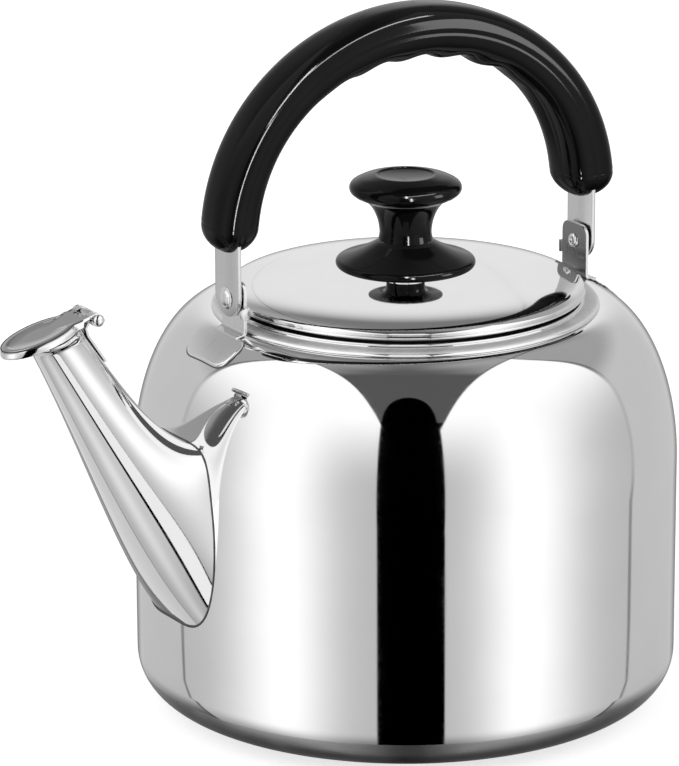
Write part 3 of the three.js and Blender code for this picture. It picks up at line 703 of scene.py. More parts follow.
def plate(outline, thickness, place, bevel=0.25):
    """A flat sheet from a 2-D outline, with softened edges; place turns (x, y, depth) into a point."""
    count = len(outline)
    area = sum(outline[i - 1][0] * outline[i][1] - outline[i][0] * outline[i - 1][1] for i in range(count))
    if area < 0:
        outline = list(reversed(outline))

    def ring(inset, depth):
        points = []
        for i, point in enumerate(outline):
            along = (Vector(outline[(i + 1) % count]) - Vector(outline[i - 1])).normalized()
            inward = Vector((-along.y, along.x))
            points.append(place(*(Vector(point) + inward * inset), depth))
        return points

    soft = bevel * 0.3
    rings = [ring(bevel, 0), ring(soft, soft), ring(0, bevel),
             ring(0, thickness - bevel), ring(soft, thickness - soft), ring(bevel, thickness)]
    verts = [tuple(point) for one in rings for point in one]
    faces = []
    for k in range(len(rings) - 1):
        low = range(k * count, (k + 1) * count)
        high = range((k + 1) * count, (k + 2) * count)
        faces += strip_faces(low, high, count)
    faces.append(tuple(range(count)))
    faces.append(tuple(reversed(range(len(verts) - count, len(verts)))))
    return verts, faces


def edged(width, edge, through):
    """The section of a flat strip with its long edges cut off at a slant."""
    return [(-width, -through), (-width + edge, -1), (width - edge, -1), (width, -through),
            (width, through), (width - edge, 1), (-width + edge, 1), (-width, through)]


def upright_point(point, across):
    return Vector((point.x, across, point.y))


def cap_outline(angle, corner):
    """Distance from the oval's centre to the top plate's edge; angle 0 points to the front."""
    c, s = math.cos(angle), math.sin(angle)
    oval = 1 / math.sqrt((c / 15.9) ** 2 + (s / 10.4) ** 2)
    if c >= 0:
        return oval
    to_side = CAP_CENTRE * 1e8
    if abs(s) > 1e-6:
        waist = math.exp(-((CAP_CENTRE + 9 * c / abs(s) - 6.5) / 4) ** 2)
        to_side = (TAIL_HALF_WIDTH - waist) / abs(s)
    tail = min(to_side, CAP_CENTRE / -c)
    return max(oval, tail) if abs(math.pi - abs(angle)) < 2.4 * corner else oval


def cap_edge():
    """Angles round the cap's centre, the plate's reach at each, and how far each belongs to the tail."""
    sides = 240
    corner = math.atan2(TAIL_HALF_WIDTH, CAP_CENTRE)
    angles = [-math.pi + TURN * (i + 0.5) / sides for i in range(sides)]
    reach = [cap_outline(angle, corner) for angle in angles]
    for _ in range(2):
        reach = [(reach[i - 1] + 2 * reach[i] + reach[(i + 1) % sides]) / 4
                 if abs(math.pi - abs(angles[i])) > corner * 1.25 else reach[i] for i in range(sides)]
    is_tail = []
    for r, angle in zip(reach, angles):
        along = CAP_CENTRE + r * math.cos(angle)
        is_tail.append(smoothstep(CAP_CENTRE - 14.4, CAP_CENTRE - 17.0, along) if math.cos(angle) < 0 else 0.0)
    return list(zip(angles, reach, is_tail))


def build_cap():
    """The dished oval with its flat tail, and the dark seam round its top plate."""
    edge = cap_edge()

    def ring(outset, height, tail_height, share=None):
        points = []
        for angle, r, tail in edge:
            grow = outset * (1 - tail) if outset > 0 else outset
            radius = r * share if share is not None else r + grow
            z = height * (1 - tail) + tail_height * tail
            points.append(cap_point(CAP_CENTRE + radius * math.cos(angle), radius * math.sin(angle), z))
        return points

    under = CAP_TOP - CAP_SHEET
    panel = CAP_TOP - 0.25
    rings = [ring(0, panel, panel, 0.02), ring(0, panel, panel, 0.4), ring(-3.2, panel, panel),
             ring(-2.9, panel + 0.05, panel), ring(-2.4, CAP_TOP - 0.02, CAP_TOP - 0.05),
             ring(-1.9, CAP_TOP, CAP_TOP), ring(-0.8, CAP_TOP, CAP_TOP),
             ring(-0.3, CAP_TOP - 0.08, CAP_TOP - 0.05), ring(0, CAP_TOP - 0.3, CAP_TOP - 0.25),
             ring(0.5, 1.6, CAP_TOP - 0.5), ring(0.9, 0.6, CAP_TOP - 0.75),
             ring(1.1, CAP_BOTTOM + 0.2, under + 0.1), ring(1.0, CAP_BOTTOM, under),
             ring(0.3, CAP_BOTTOM, under), ring(0.1, CAP_BOTTOM + 0.3, under), ring(-0.2, 0.8, under),
             ring(-0.8, 1.5, under), ring(-1.6, under, under), ring(0, under, under, 0.4),
             ring(0, under, under, 0.02)]
    half = STRIP_HALF_WIDTH + GAP
    mesh = clean(vessel_mesh("cap_sheet", *loft(rings)))
    mesh = boolean_cut(mesh, box((-6, -half, -8), (4.4, half, 8), cap_point))
    cap = finish_piece("whistle_cap_dish", mesh, CAP_STEEL, "whistle", "polished_steel", ["whistle_cap"],
                       sharp=38)
    up = Vector((-math.sin(CAP_TILT), 0, math.cos(CAP_TILT)))
    # Painted shade: the faces that look up get the darker copy of the cap's steel.
    paint(cap, CAP_TOP_PAINTED_SHADE, lambda middle, normal: normal.dot(up) > 0.55)
    line = ring(0.12, CAP_TOP - 0.3, CAP_TOP - 0.22)
    line = [point for point, (_, _, tail) in zip(line, edge) if tail < 0.9]
    seam = bead(line, lambda point, along: up, lambda point: SEAM_RADIUS)
    make("whistle_cap_seam", seam, SEAM_AND_GAP_SHADE, "whistle", "polished_steel")


CURL_RADIUS = (KNUCKLE_RADIUS + PIN_RADIUS + GAP) / 2


def build_cap_curls():
    """The tail's two curls round the pin, one on each side of the strip's."""
    near, far = STRIP_HALF_WIDTH + GAP, TAIL_HALF_WIDTH
    half = (far - near) / 2
    level = CAP_TOP - CAP_SHEET / 2
    path = [(2.5, level), (1.2, level)] + arc((0, 0), (CURL_RADIUS, CURL_RADIUS), 90, 372, 26)
    section = edged(1, 0.04, 0.8)
    curls = []
    for side in (-1, 1):
        middle = side * (near + far) / 2
        curls.append(bent_strip(path, 1.06, lambda here: section,
                                lambda point, across: cap_point(point.x, middle + half * across, point.y)))
    make("whistle_cap_curls", merged(curls), CAP_STEEL, "whistle", "polished_steel", sharp=40)


def build_cap_hinge():
    """The strip on the spout's back, curled round the pin, and the pin with its round heads."""
    thickness = 0.95
    path = []
    for degrees in range(-30, 235, 12):
        angle = math.radians(degrees)
        path.append((PIN.x + CURL_RADIUS * math.cos(angle), PIN.z + CURL_RADIUS * math.sin(angle)))
    for height in (-3.2, -4.6, -6.0):
        point = cap_point(3.75, 0, height)
        path.append((point.x, point.z))
    for k in range(9):
        t = 0.985 - 0.17 * k / 8
        here, ahead = bezier(*SPOUT_UPPER, t), bezier(*SPOUT_UPPER, t + 0.01)
        along = Vector((ahead.x - here.x, ahead.z - here.z)).normalized()
        normal = Vector((along.y, -along.x))
        if normal.x < 0:
            normal = -normal
        path.append(tuple(Vector((here.x, here.z)) + normal * 0.62))
    half = STRIP_HALF_WIDTH
    section = rounded([(-half, -1), (half, -1), (half, 1), (-half, 1)], 0.2, 2)
    make("cap_bracket_strip", bent_strip(path, thickness, lambda here: section, upright_point), SMALL_STEEL,
         "kettle", "satin_steel", ["cap_bracket"], sharp=40)
    half = TAIL_HALF_WIDTH + GAP
    head = arc((0, half + 1.1), (2.4, 1.6), -78, 90, 14)
    upper = [(PIN_RADIUS, half - 0.3), (PIN_RADIUS + 0.2, half)] + head
    lower = [(radius, -height) for radius, height in reversed(upper)]
    lower[0], upper[-1] = (0, lower[0][1]), (0, upper[-1][1])
    verts, faces = lathe(lower + upper, 40)
    lay = Matrix.Rotation(math.pi / 2, 3, "X")
    verts = [tuple(PIN + lay @ Vector(point)) for point in verts]
    make("cap_pin_rod", (verts, faces), BUTTON_STEEL, "kettle", "polished_steel", ["cap_pin"], sharp=40)


def build_whistle():
    """The two drilled discs under the cap, between which the whistle sounds."""
    sides = 64
    centre = LIP_CENTRE + 1

    def disc(rows):
        return loft([cap_ring(centre, radius, radius, height, sides) for radius, height in rows], closed=True)

    plate_rows = [(1.5, -1.9), (8.3, -1.9), (8.6, -1.7), (8.6, -1.3), (8.3, -1.1), (1.5, -1.1)]
    make("whistle_disc", disc(plate_rows), SMALL_STEEL, "whistle", "satin_steel", ["whistle_plate"], sharp=35)
    cup_rows = [(1.5, 1.3), (6.9, 1.3), (7.25, 1.1), (7.6, -0.8), (6.8, -0.8), (6.45, 0.5), (1.5, 0.5)]
    make("whistle_bowl", disc(cup_rows), SMALL_STEEL, "whistle", "satin_steel", ["whistle_cup"], sharp=35)


# ---------------------------------------------------------------- lugs, straps and rivets
# Each is made for the spout side and turned half round for the back.


def turned_to(side):
    """1 for the spout side, and -1 for the back, which is turned half round."""
    return -1 if side == "right" else 1


def placed(skin, side):
    """From the spout side's own frame to its place on the kettle."""
    verts, faces = skin
    flip = turned_to(side)
    return [(HANDLE_OFFSET + flip * x, flip * y, z) for x, y, z in verts], faces


def foot_outline():
    """The two-lobed foot seen from above: distance outwards, and across, for half the foot."""
    start, notch, edge = LUG_REACH - 0.5, LUG_REACH + 3.2, LUG_REACH + 14.8
    half, corner = LUG_HALF_WIDTH, LUG_REACH + 8.2
    curves = [
        ((notch, half), (notch - 0.2, half + 1), (notch - 0.6, 10.5), (notch - 0.6, 11.5)),
        ((notch - 0.6, 11.5), (notch - 0.6, 14.5), (notch + 2, 16.2), (corner, 16.2)),
        ((corner, 16.2), (edge - 2, 16.2), (edge - 0.4, 12.6), (edge - 0.2, 8.8)),
        ((edge - 0.2, 9), (edge, 6), (edge, 3), (edge, 0)),
    ]
    points = [(start, 0.0), (start, half * 0.5), (start, half), ((start + notch) / 2, half)]
    for a, b, c, d in curves:
        for k in range(14):
            t = k / 14
            points.append(tuple(bezier(Vector(a), Vector(b), Vector(c), Vector(d), t)))
    points.append((edge, 0.0))
    return points


FOOT_MIDDLE = Vector((LUG_REACH + 8.8, 0))
FOOT_LIFT = 0.85


def foot_ring(side, share, lift, inset=0.0):
    """The foot's outline, shrunk to a share about its middle and laid on the shoulder at a lift."""
    half = foot_outline()
    outline = half + [(u, -y) for u, y in reversed(half[1:-1])]
    points = []
    for point in outline:
        arm = Vector(point) - FOOT_MIDDLE
        arm = arm * share - arm.normalized() * inset
        u, y = FOOT_MIDDLE + arm
        radius = math.hypot(-u + turned_to(side) * HANDLE_OFFSET, y)
        points.append(Vector((-u, y, drum_height(radius, lift))))
    return points


def lug_foot(side):
    """The welded foot, a thin sheet with a soft edge that follows the shoulder."""
    low, shares = 0.05, [0.05, 0.2, 0.4, 0.6, 0.8, 0.93]
    rings = [foot_ring(side, share, FOOT_LIFT) for share in shares]
    rings += [foot_ring(side, 1, FOOT_LIFT, 0.25), foot_ring(side, 1, FOOT_LIFT - 0.12, 0.08)]
    rings += [foot_ring(side, 1, FOOT_LIFT - 0.35), foot_ring(side, 1, low)]
    rings += [foot_ring(side, share, low) for share in reversed(shares)]
    return loft(rings)


def lug_upright(side):
    """The upright with its round top corners, bent outwards at its foot."""
    bend_radius, corner = 2.2, 4.0
    middle = LUG_REACH - LUG_THICKNESS / 2
    ground = drum_height(middle - turned_to(side) * HANDLE_OFFSET + 3, LUG_THICKNESS * 0.4)
    top = RIVET_HEIGHT + 7.3
    path = [(-middle, top)]
    path += [(-middle, top - corner * (1 - math.cos(math.radians(a)))) for a in (18, 36, 54, 72, 90)]
    path += [(-middle, RIVET_HEIGHT), (-middle, ground + bend_radius)]
    for degrees in (15, 30, 45, 60, 75, 90):
        angle = math.radians(degrees)
        path.append((-middle - bend_radius * (1 - math.cos(angle)),
                     ground + bend_radius * (1 - math.sin(angle))))
    path.append((-middle - bend_radius - 2.5, ground - 0.35))

    def section_at(here):
        left = max(corner - (top - here.y), 0)
        inset = corner - math.sqrt(max(corner ** 2 - left ** 2, 0))
        return edged(LUG_HALF_WIDTH - inset, 0.25, 0.75)

    return bent_strip(path, LUG_THICKNESS, section_at, upright_point)


def lug_ear():
    """The ear that stops the folding strap, and the neck that joins it to the upright."""
    near, height, radius, neck = STRAP_HALF_WIDTH + 0.6, RIVET_HEIGHT - 4.6, 2.5, 2.2
    reach = STRAP_THICKNESS + WASHER_THICKNESS + 2 * GAP
    outline = [(LUG_THICKNESS, -radius), (LUG_THICKNESS, radius)]
    outline += arc((radius - reach, 0), (radius, radius), 90, 270, 18)
    ear = plate(outline, 1.5, lambda x, z, depth: Vector((-LUG_REACH + x, -near - depth, height + z)), 0.3)
    start, end = -near - 0.2, -LUG_HALF_WIDTH + 1
    outline = [(start, -neck), (end, -neck), (end, neck), (start, neck)]
    return merged([ear, plate(outline, LUG_THICKNESS - 0.1,
                              lambda y, z, depth: Vector((-LUG_REACH + 0.05 + depth, y, height + z)), 0.15)])


def build_lug(side):
    flip = turned_to(side)
    skin = placed(merged([lug_upright(side), lug_ear()]), side)
    sheet = make(f"lug_sheet_{side}", skin, LUG_STEEL, "kettle", "satin_steel", [f"lug_{side}"], sharp=32)
    # Painted shade: the faces that look towards the drum get the dark copy of the lugs' steel.
    paint(sheet, LUG_BACK_PAINTED_SHADE, lambda middle, normal: normal.x * flip > 0.3)
    # Painted light: the foot gets the lighter copy of the lugs' steel on its upward face.
    make(f"lug_foot_{side}", placed(lug_foot(side), side), FOOT_STEEL_PAINTED_LIGHT, "kettle", "satin_steel", sharp=32)
    line = foot_ring(side, 1, 0.12)[3:-2]
    seam = bead(line, lambda point, along: Vector((point.x, point.y, 60)).normalized(),
                lambda point: SEAM_RADIUS)
    make(f"lug_seam_{side}", placed(seam, side), SEAM_AND_GAP_SHADE, "kettle", "satin_steel")


def build_strap(side):
    outline = [(STRAP_HALF_WIDTH, STRAP_TOP), (-STRAP_HALF_WIDTH, STRAP_TOP)]
    outline += arc((0, STRAP_END), (STRAP_HALF_WIDTH, STRAP_HALF_WIDTH), 180, 360, 40)
    skin = plate(outline, STRAP_THICKNESS, lambda y, z, depth: Vector((-STRAP_REACH + depth, y, z)), 0.35)
    make(f"strap_sheet_{side}", placed(skin, side), STRAP_STEEL, "handle", "satin_steel", [f"strap_{side}"],
         sharp=32)


def about_rivet(skin, side):
    """A skin turned about Z, laid with its heights pointing outwards along the rivet's axis."""
    verts, faces = skin
    return placed(([(-z, y, RIVET_HEIGHT + x) for x, y, z in verts], faces), side)


def build_rivet(side):
    """The rivet with its domed button outside and rolled head inside, and the washer under the strap."""
    head = STRAP_REACH + 0.05
    tail = LUG_REACH - LUG_THICKNESS
    profile = [(0, tail + 1.2), (1.3, tail + 1.15), (1.5, tail - 0.9), (1.8, tail - 1.2), (2.3, tail - 1.2),
               (2.9, tail - 0.7), (3.05, tail - 0.2), (2.9, tail), (2.3, tail), (2.3, head), (4.3, head),
               (4.5, head + 0.12), (4.5, head + 0.3), (4.25, head + 0.45), (3.75, head + 0.5),
               (3.6, head + 0.62)]
    profile += arc((0, head + 0.35), (3.5, 1.35), 14, 90, 10)
    profile[-1] = (0, profile[-1][1])
    make(f"rivet_button_{side}", about_rivet(lathe(profile, 48), side), BUTTON_STEEL, "kettle",
         "polished_steel", [f"rivet_{side}"], sharp=45)
    inside = LUG_REACH + GAP
    outside = inside + WASHER_THICKNESS
    ring = [(2.6, inside), (5.0, inside), (5.2, inside + 0.15), (5.2, outside - 0.15), (5.0, outside),
            (2.6, outside)]
    make(f"rivet_ring_{side}", about_rivet(ring_skin(ring, 48), side), BUTTON_STEEL, "kettle",
         "polished_steel", [f"rivet_washer_{side}"], sharp=40)


# ---------------------------------------------------------------- the grip


def grip_outline(shape, angle):
    """A point of the grip's outer or inner outline, from its centre, half span, rise and power."""
    centre, span, rise, power = shape
    return Vector((centre + span * bend(math.cos(angle), power), 0,
                   GRIP_BASE + rise * bend(math.sin(angle), power)))


def finger_crest(x):
    """How far the crests between the fingers stand out, fading to none along the legs."""
    place = (x - FINGER_CENTRE) / FINGER_PITCH
    fade = min(max(2.6 - abs(place), 0), 1)
    return FINGER_DEPTH * fade * (0.5 - 0.5 * math.cos(TURN * place))


def grip_ring(angle, section):
    """The grip's section at an angle of the arch, rounded off towards the ends of the legs."""
    outer = grip_outline(GRIP_OUTER, angle)
    inner = grip_outline(GRIP_INNER, angle)
    above = (outer.z - GRIP_BASE + GRIP_LEG_DROP) / GRIP_END_LENGTH
    scale = max(math.sqrt(max(1 - (1 - above) ** 2, 0)), 0.02) if above < 1 else 1
    seam = 0.12 * math.exp(-((above - 1) * GRIP_END_LENGTH / 0.35) ** 2)
    middle = (outer + inner) / 2
    reach = (outer - middle) * scale
    crest = finger_crest(inner.x) if math.sin(angle) > 0 else 0
    widening = (GRIP_TOP_HALF_WIDTH - GRIP_LEG_HALF_WIDTH) * max(math.sin(angle), 0)
    half = scale * (GRIP_LEG_HALF_WIDTH + widening)
    ring = []
    for along, across, groove in section:
        inward = max(-along, 0) ** 2 * (1 - across ** 2)
        arm = (reach * along - reach.normalized() * (crest * inward)) * (1 - seam / 10)
        y = half * across * (1 - (groove + seam) / max(half, 1))
        ring.append(Vector((middle.x + arm.x, y, middle.z + arm.z)))
    return ring


def grip_section():
    """Round the section: share of the radial reach, share of the half width, depth of the parting groove."""
    angles = [TURN * i / 64 for i in range(64)]
    for quarter in (0.25, 0.75):
        for offset in (-0.0025, 0.0025):
            angles.append(TURN * (quarter + offset))
    section = []
    for angle in sorted(angles):
        along, across = bend(math.cos(angle), GRIP_SQUARENESS), bend(math.sin(angle), GRIP_SQUARENESS)
        on_seam = abs(abs(math.sin(angle)) - 1) < 1e-7
        section.append((along, across, 0.16 if on_seam else 0.0))
    return section


def build_grip():
    """The moulded arch, closely ringed at its round ends and slotted for the straps."""
    first = math.asin((GRIP_END_LENGTH - GRIP_LEG_DROP) / GRIP_OUTER[2])
    ends = []
    for degrees in (1, 4, 8, 13, 19, 26, 34, 42, 50, 58, 66, 73, 79, 84):
        above = 1 - math.cos(math.radians(degrees))
        ends.append(math.asin((GRIP_END_LENGTH * above - GRIP_LEG_DROP) / GRIP_OUTER[2]))
    ends += [first + height / GRIP_OUTER[2] for height in (-0.3, 0, 0.3, 0.7, 1.5)]
    start = first + 0.03
    arch = [start + (math.pi - 2 * start) * i / 180 for i in range(181)]
    angles = ends + arch + [math.pi - angle for angle in reversed(ends)]
    section = grip_section()
    mesh = clean(vessel_mesh("grip_body", *loft([grip_ring(angle, section) for angle in angles])))
    half = STRAP_HALF_WIDTH + 0.15
    for side in (-1, 1):
        inner = HANDLE_OFFSET + side * (STRAP_REACH - STRAP_THICKNESS - 0.15)
        outer = HANDLE_OFFSET + side * (STRAP_REACH + 0.15)
        mesh = boolean_cut(mesh, box((inner, -half, RIVET_HEIGHT), (outer, half, STRAP_TOP + GAP)))
    finish_piece("grip_moulding", mesh, BLACK, "handle", "black_bakelite", ["handle_grip"], sharp=50)


# ---------------------------------------------------------------- the lid and its knob


def build_lid():
    """The flat dome over a rolled rim, and the skirt that sits in the mouth."""
    edge, base, power = LID_RADIUS - 0.35, LID_BOTTOM + 1.9, 6

    def top_height(radius, drop=0.0):
        crown = LID_CROWN * (1 - (radius / edge) ** 2)
        return base + (LID_TOP - base + crown - drop) * (1 - (radius / (edge - drop)) ** power) ** 0.45

    outside, inside_top = [], []
    for k in range(61):
        radius = SCREW_HOLE + (edge - SCREW_HOLE) * (1 - (1 - k / 60) ** 2.2)
        outside.append((radius, top_height(radius)))
    for k in range(31):
        radius = SCREW_HOLE + (edge - SHEET - SCREW_HOLE) * (1 - (k / 30) ** 2.2)
        inside_top.append((radius, top_height(radius, SHEET)))
    groove = LID_BOTTOM + 1.35
    outside += [(edge, groove + 0.4), (edge - 0.35, groove + 0.1), (edge - 0.35, groove - 0.1)]
    outside += arc((LID_RADIUS - 0.8, LID_BOTTOM + 0.55), (0.8, 0.6), 58, -90, 10)
    outside += [(LID_RADIUS - 3.5, LID_BOTTOM + 0.15), (LID_SKIRT_RADIUS + 1.2, LID_BOTTOM)]
    outside += arc((LID_SKIRT_RADIUS + 1.0, LID_BOTTOM - 1.0), (1.0, 1.0), 90, 180, 4)
    outside += [(LID_SKIRT_RADIUS, LID_SKIRT_BOTTOM + 0.5)]
    outside += arc((LID_SKIRT_RADIUS - 0.6, LID_SKIRT_BOTTOM + 0.6), (0.6, 0.6), 0, -180, 8)
    inside = [(LID_SKIRT_RADIUS - SHEET, LID_BOTTOM + 1), (edge - SHEET - 0.2, LID_BOTTOM + 1.2)]
    inside += inside_top
    lid = make("lid", ring_skin(outside + inside, 200), LID_STEEL, "lid", "polished_steel", ["lid_shell"],
               sharp=35)
    # Painted shade: the rolled rim's underside and the skirt are coloured dark for the shade in the gap over
    # the collar.
    gap_shade_top, gap_shade_edge = LID_BOTTOM + 0.45, LID_RADIUS - 0.35
    paint(lid, SEAM_AND_GAP_SHADE, lambda middle, normal: middle.z < gap_shade_top and off_axis(middle) < gap_shade_edge)


def smooth_profile(points, steps=6):
    """A soft curve through profile points."""
    vectors = [Vector(p) for p in points]
    path = [vectors[0], *vectors, vectors[-1]]
    result = []
    for a, b, c, d in zip(path, path[1:], path[2:], path[3:]):
        for k in range(steps):
            result.append(tuple(catmull(a, b, c, d, k / steps)))
    result.append(tuple(vectors[-1]))
    return result


def build_screw():
    """The pan-headed screw from under the lid into the knob, which the lid's top doesn't reflect."""
    seat = LID_TOP + LID_CROWN - SHEET - 1 - 2 * GAP
    profile = [(0, seat - 2.6), (2.6, seat - 2.5)] + arc((2.7, seat - 0.9), (1.6, 1.5), -60, 0, 6)
    shank = SCREW_HOLE - GAP
    profile += [(4.3, seat - 0.1), (4.2, seat), (shank, seat), (shank, 203.6), (1.8, 204.2), (0, 204.2)]
    screw = make("knob_screw_turned", lathe(profile, 32), SMALL_STEEL, "lid", "satin_steel", ["knob_screw"],
                 sharp=35)
    screw.visible_glossy = False


def build_knob():
    """The polished ring on the lid, the black column and saucer over it, and the waisted head."""
    bottom = LID_TOP + LID_CROWN + 0.1
    ferrule = [(SCREW_HOLE, bottom)]
    ferrule += [(FERRULE_RADIUS - 0.3, bottom), (FERRULE_RADIUS, bottom + 0.3)]
    ferrule += [(FERRULE_RADIUS, FERRULE_TOP - 0.7)]
    ferrule += arc((FERRULE_RADIUS - 0.7, FERRULE_TOP - 0.7), (0.7, 0.7), 10, 90, 5)
    ferrule += [(SCREW_HOLE, FERRULE_TOP)]
    make("knob_ferrule", ring_skin(ferrule, 96), BUTTON_STEEL, "lid", "polished_steel", ["knob_washer"],
         sharp=35)

    hub = [(SCREW_HOLE, FERRULE_TOP + 0.1), (7.4, FERRULE_TOP + 0.1), (7.7, FERRULE_TOP + 0.5), (7.9, 177.8)]
    hub += smooth_profile([(8.4, 179.2), (10.5, 180.1), (15, 180.6)], 4) + [(15, 180.9), (SCREW_HOLE, 180.9)]
    make("knob_hub", ring_skin(hub, 96), BLACK, "lid", "black_bakelite", sharp=45)
    skirt = [(SCREW_HOLE, 187.15), (SCREW_HOLE, 181.1), (9.2, 181.1), (9.2, 179.6)]
    skirt += smooth_profile([(9.6, 179.3), (13, 179.3), (22, 178.2), (25, 176.95)], 4)
    skirt += arc((26.3, 178.35), (1.85, 1.75), -110, 62, 16)
    skirt += smooth_profile([(26.6, 180.1), (23, 181.3), (17.5, 183.6), (12.8, 186.1)], 6)
    skirt += [(11.3, 187.15)]
    saucer = make("knob_saucer", ring_skin(skirt, 128), BLACK, "lid", "black_bakelite", ["knob_skirt"],
                  sharp=45)
    saucer.visible_glossy = False

    base = KNOB_SPLIT + 0.08
    head = [(0, 205), (SCREW_HOLE, 205), (SCREW_HOLE, base), (10.6, base), (10.9, base + 0.2)]
    head += smooth_profile([(10.8, 188.6), (10.45, 191), (11.1, 195.5), (12.9, 200), (15.6, 203.5),
                            (18.6, 205.1), (20.6, 206.1)], 6)
    head += arc((19.6, 209), (2.95, 2.85), -62, 48, 14)
    head += smooth_profile([(20.9, 211.6), (17.5, 213.2), (13.2, 214.25), (11.9, 214.4)], 5)
    head += smooth_profile([(11.4, 214.3), (10.6, 213.9), (6, 213.45), (2, 213.3)], 4) + [(0, 213.3)]
    crown = make("knob_head", lathe(head, 128), BLACK, "lid", "black_bakelite", ["knob_grip"], sharp=45)
    crown.visible_glossy = False


# ---------------------------------------------------------------- assembly

build_body()
build_collar()
build_base()
build_spout()
build_cap()
build_cap_curls()
build_cap_hinge()
build_whistle()
for which in ("left", "right"):
    build_lug(which)
    build_strap(which)
    build_rivet(which)
build_grip()
build_lid()
build_knob()
build_screw()

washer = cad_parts["knob_screw_washer"]
washer.data.materials.clear()
washer.data.materials.append(SMALL_STEEL)


# ---------------------------------------------------------------- the studio
# Two tall white side panels with a black gap between them behind the camera, a pale back wall
# and a dim ceiling. The azimuth is measured from the camera's side of the kettle.

CAMERA_PLACE = Vector((-0.9592, -1.5231, 0.6737))
CAMERA_RIGHT = Vector((0.8462, -0.5329, 0.0))
CAMERA_PITCH = math.radians(16.8)
CAMERA_LENS = 218.6
CAMERA_SHIFT = -0.0862
CARD_LIGHT = math.pi  # watts per square metre that make a card as bright as the white panels
TO_CAMERA = Vector((CAMERA_RIGHT.y, -CAMERA_RIGHT.x, 0))
VIEW = -TO_CAMERA * math.cos(CAMERA_PITCH) - Vector((0, 0, math.sin(CAMERA_PITCH)))


class Signal:
    """A number in the world's node tree, which is summed and multiplied like any other."""

    def __init__(self, tree, socket):
        self.tree = tree
        self.socket = socket

    def node(self, kind, values, output, **settings):
        """The output of a new node, fed with numbers and signals by the index of its sockets."""
        node = add(self.tree, kind, **settings)
        for index, value in values.items():
            if isinstance(value, Signal):
                self.tree.links.new(value.socket, node.inputs[index])
            else:
                node.inputs[index].default_value = value
        return Signal(self.tree, node.outputs[output])

    def math(self, operation, other=0.0):
        return self.node("ShaderNodeMath", {0: self, 1: other}, "Value", operation=operation)

    def __add__(self, other):
        return self.math("ADD", other)

    def __sub__(self, other):
        return self.math("SUBTRACT", other)

    def __mul__(self, other):
        return self.math("MULTIPLY", other)

    def __truediv__(self, other):
        return self.math("DIVIDE", other)

    def __pow__(self, other):
        return self.math("POWER", other)

    def __abs__(self):
        return self.math("ABSOLUTE")

    def at_least(self, floor):
        return self.math("MAXIMUM", floor)

    def ramp(self, low, high, start=0.0, end=1.0):
        """A smooth step from start to end, while this number goes from low to high."""
        values = {0: self, 1: low, 2: high, 3: start, 4: end}
        return self.node("ShaderNodeMapRange", values, "Result", interpolation_type="SMOOTHSTEP")

    def between(self, first, second):
        """The first value where this number is 0, the second where it is 1."""
        return self.node("ShaderNodeMix", {0: self, 2: first, 3: second}, 0)


class Sky:
    """The direction of a ray, as the measures that the studio is laid out in."""

    def __init__(self, tree):
        self.tree = tree
        self.ray = add(tree, "ShaderNodeTexCoord").outputs["Generated"]
        self.forward = self.towards(TO_CAMERA)
        self.side = self.towards(CAMERA_RIGHT)
        self.up = self.towards((0, 0, 1))
        self.aside = abs(self.side).at_least(0.0001)
        self.is_right = self.side.ramp(-0.001, 0.001)
        self.azimuth = self.aside.math("ARCTAN2", self.forward) * (360 / TURN)
        self.elevation = self.up.math("ARCSINE") * (360 / TURN)
        # how far along a side panel, and how far up it, in its distances from the kettle
        self.along = self.forward / self.aside
        self.height = self.up / self.aside

    def towards(self, direction):
        """How nearly the ray points that way: 1 straight along it, 0 across it."""
        node = add(self.tree, "ShaderNodeVectorMath", operation="DOT_PRODUCT")
        self.tree.links.new(self.ray, node.inputs[0])
        node.inputs[1].default_value = direction
        return Signal(self.tree, node.outputs["Value"])


def panel_light(sky):
    """A panel is brightest opposite its lamp, and bright all over further up."""
    off_lamp = sky.azimuth - 52
    width = off_lamp.ramp(-0.5, 0.5).between(20.5, 26)
    glow = ((abs(off_lamp) / width) ** 2 * -1).math("EXPONENT")
    return sky.elevation.ramp(0, 42).between(glow * 0.66 + 0.54, 1.15)


def back_light(sky):
    """The room behind the panels: a pale wall, darker towards the ceiling and the floor."""
    wall = sky.azimuth.ramp(150, 180, 0.59, 0.85)
    high = sky.azimuth.ramp(155, 178, 0.38, 0.2)
    light = sky.elevation.ramp(19, 33).between(wall, high)
    light = sky.elevation.ramp(60, 85).between(light, 0.115)
    return light * sky.elevation.ramp(-38, -17, 0.3, 1.0)


def front_light(sky):
    """The black gap between the panels, with a round top, and the dim ceiling over it."""
    ahead = sky.forward.at_least(0.001)
    gap_side = (sky.side / ahead - 0.032) / 0.24
    dome = (gap_side ** 2 * -1 + 1).at_least(0).math("SQRT")
    over_gap = sky.up / ahead - (dome * 0.78 + 0.7)
    return over_gap.ramp(-0.02, 0.02).between(0.0, 0.1)


def under_gap(sky):
    """Where the gap follows the wall's black stripe round the corner, under the kettle."""
    half_width = (sky.forward + math.cos(CAMERA_PITCH)) * sky.is_right.between(0.1045, 0.145)
    return (sky.aside - half_width).ramp(-0.012, 0.004, 1.0, 0.0) * sky.elevation.ramp(-18, -16.9, 1.0, 0.0)


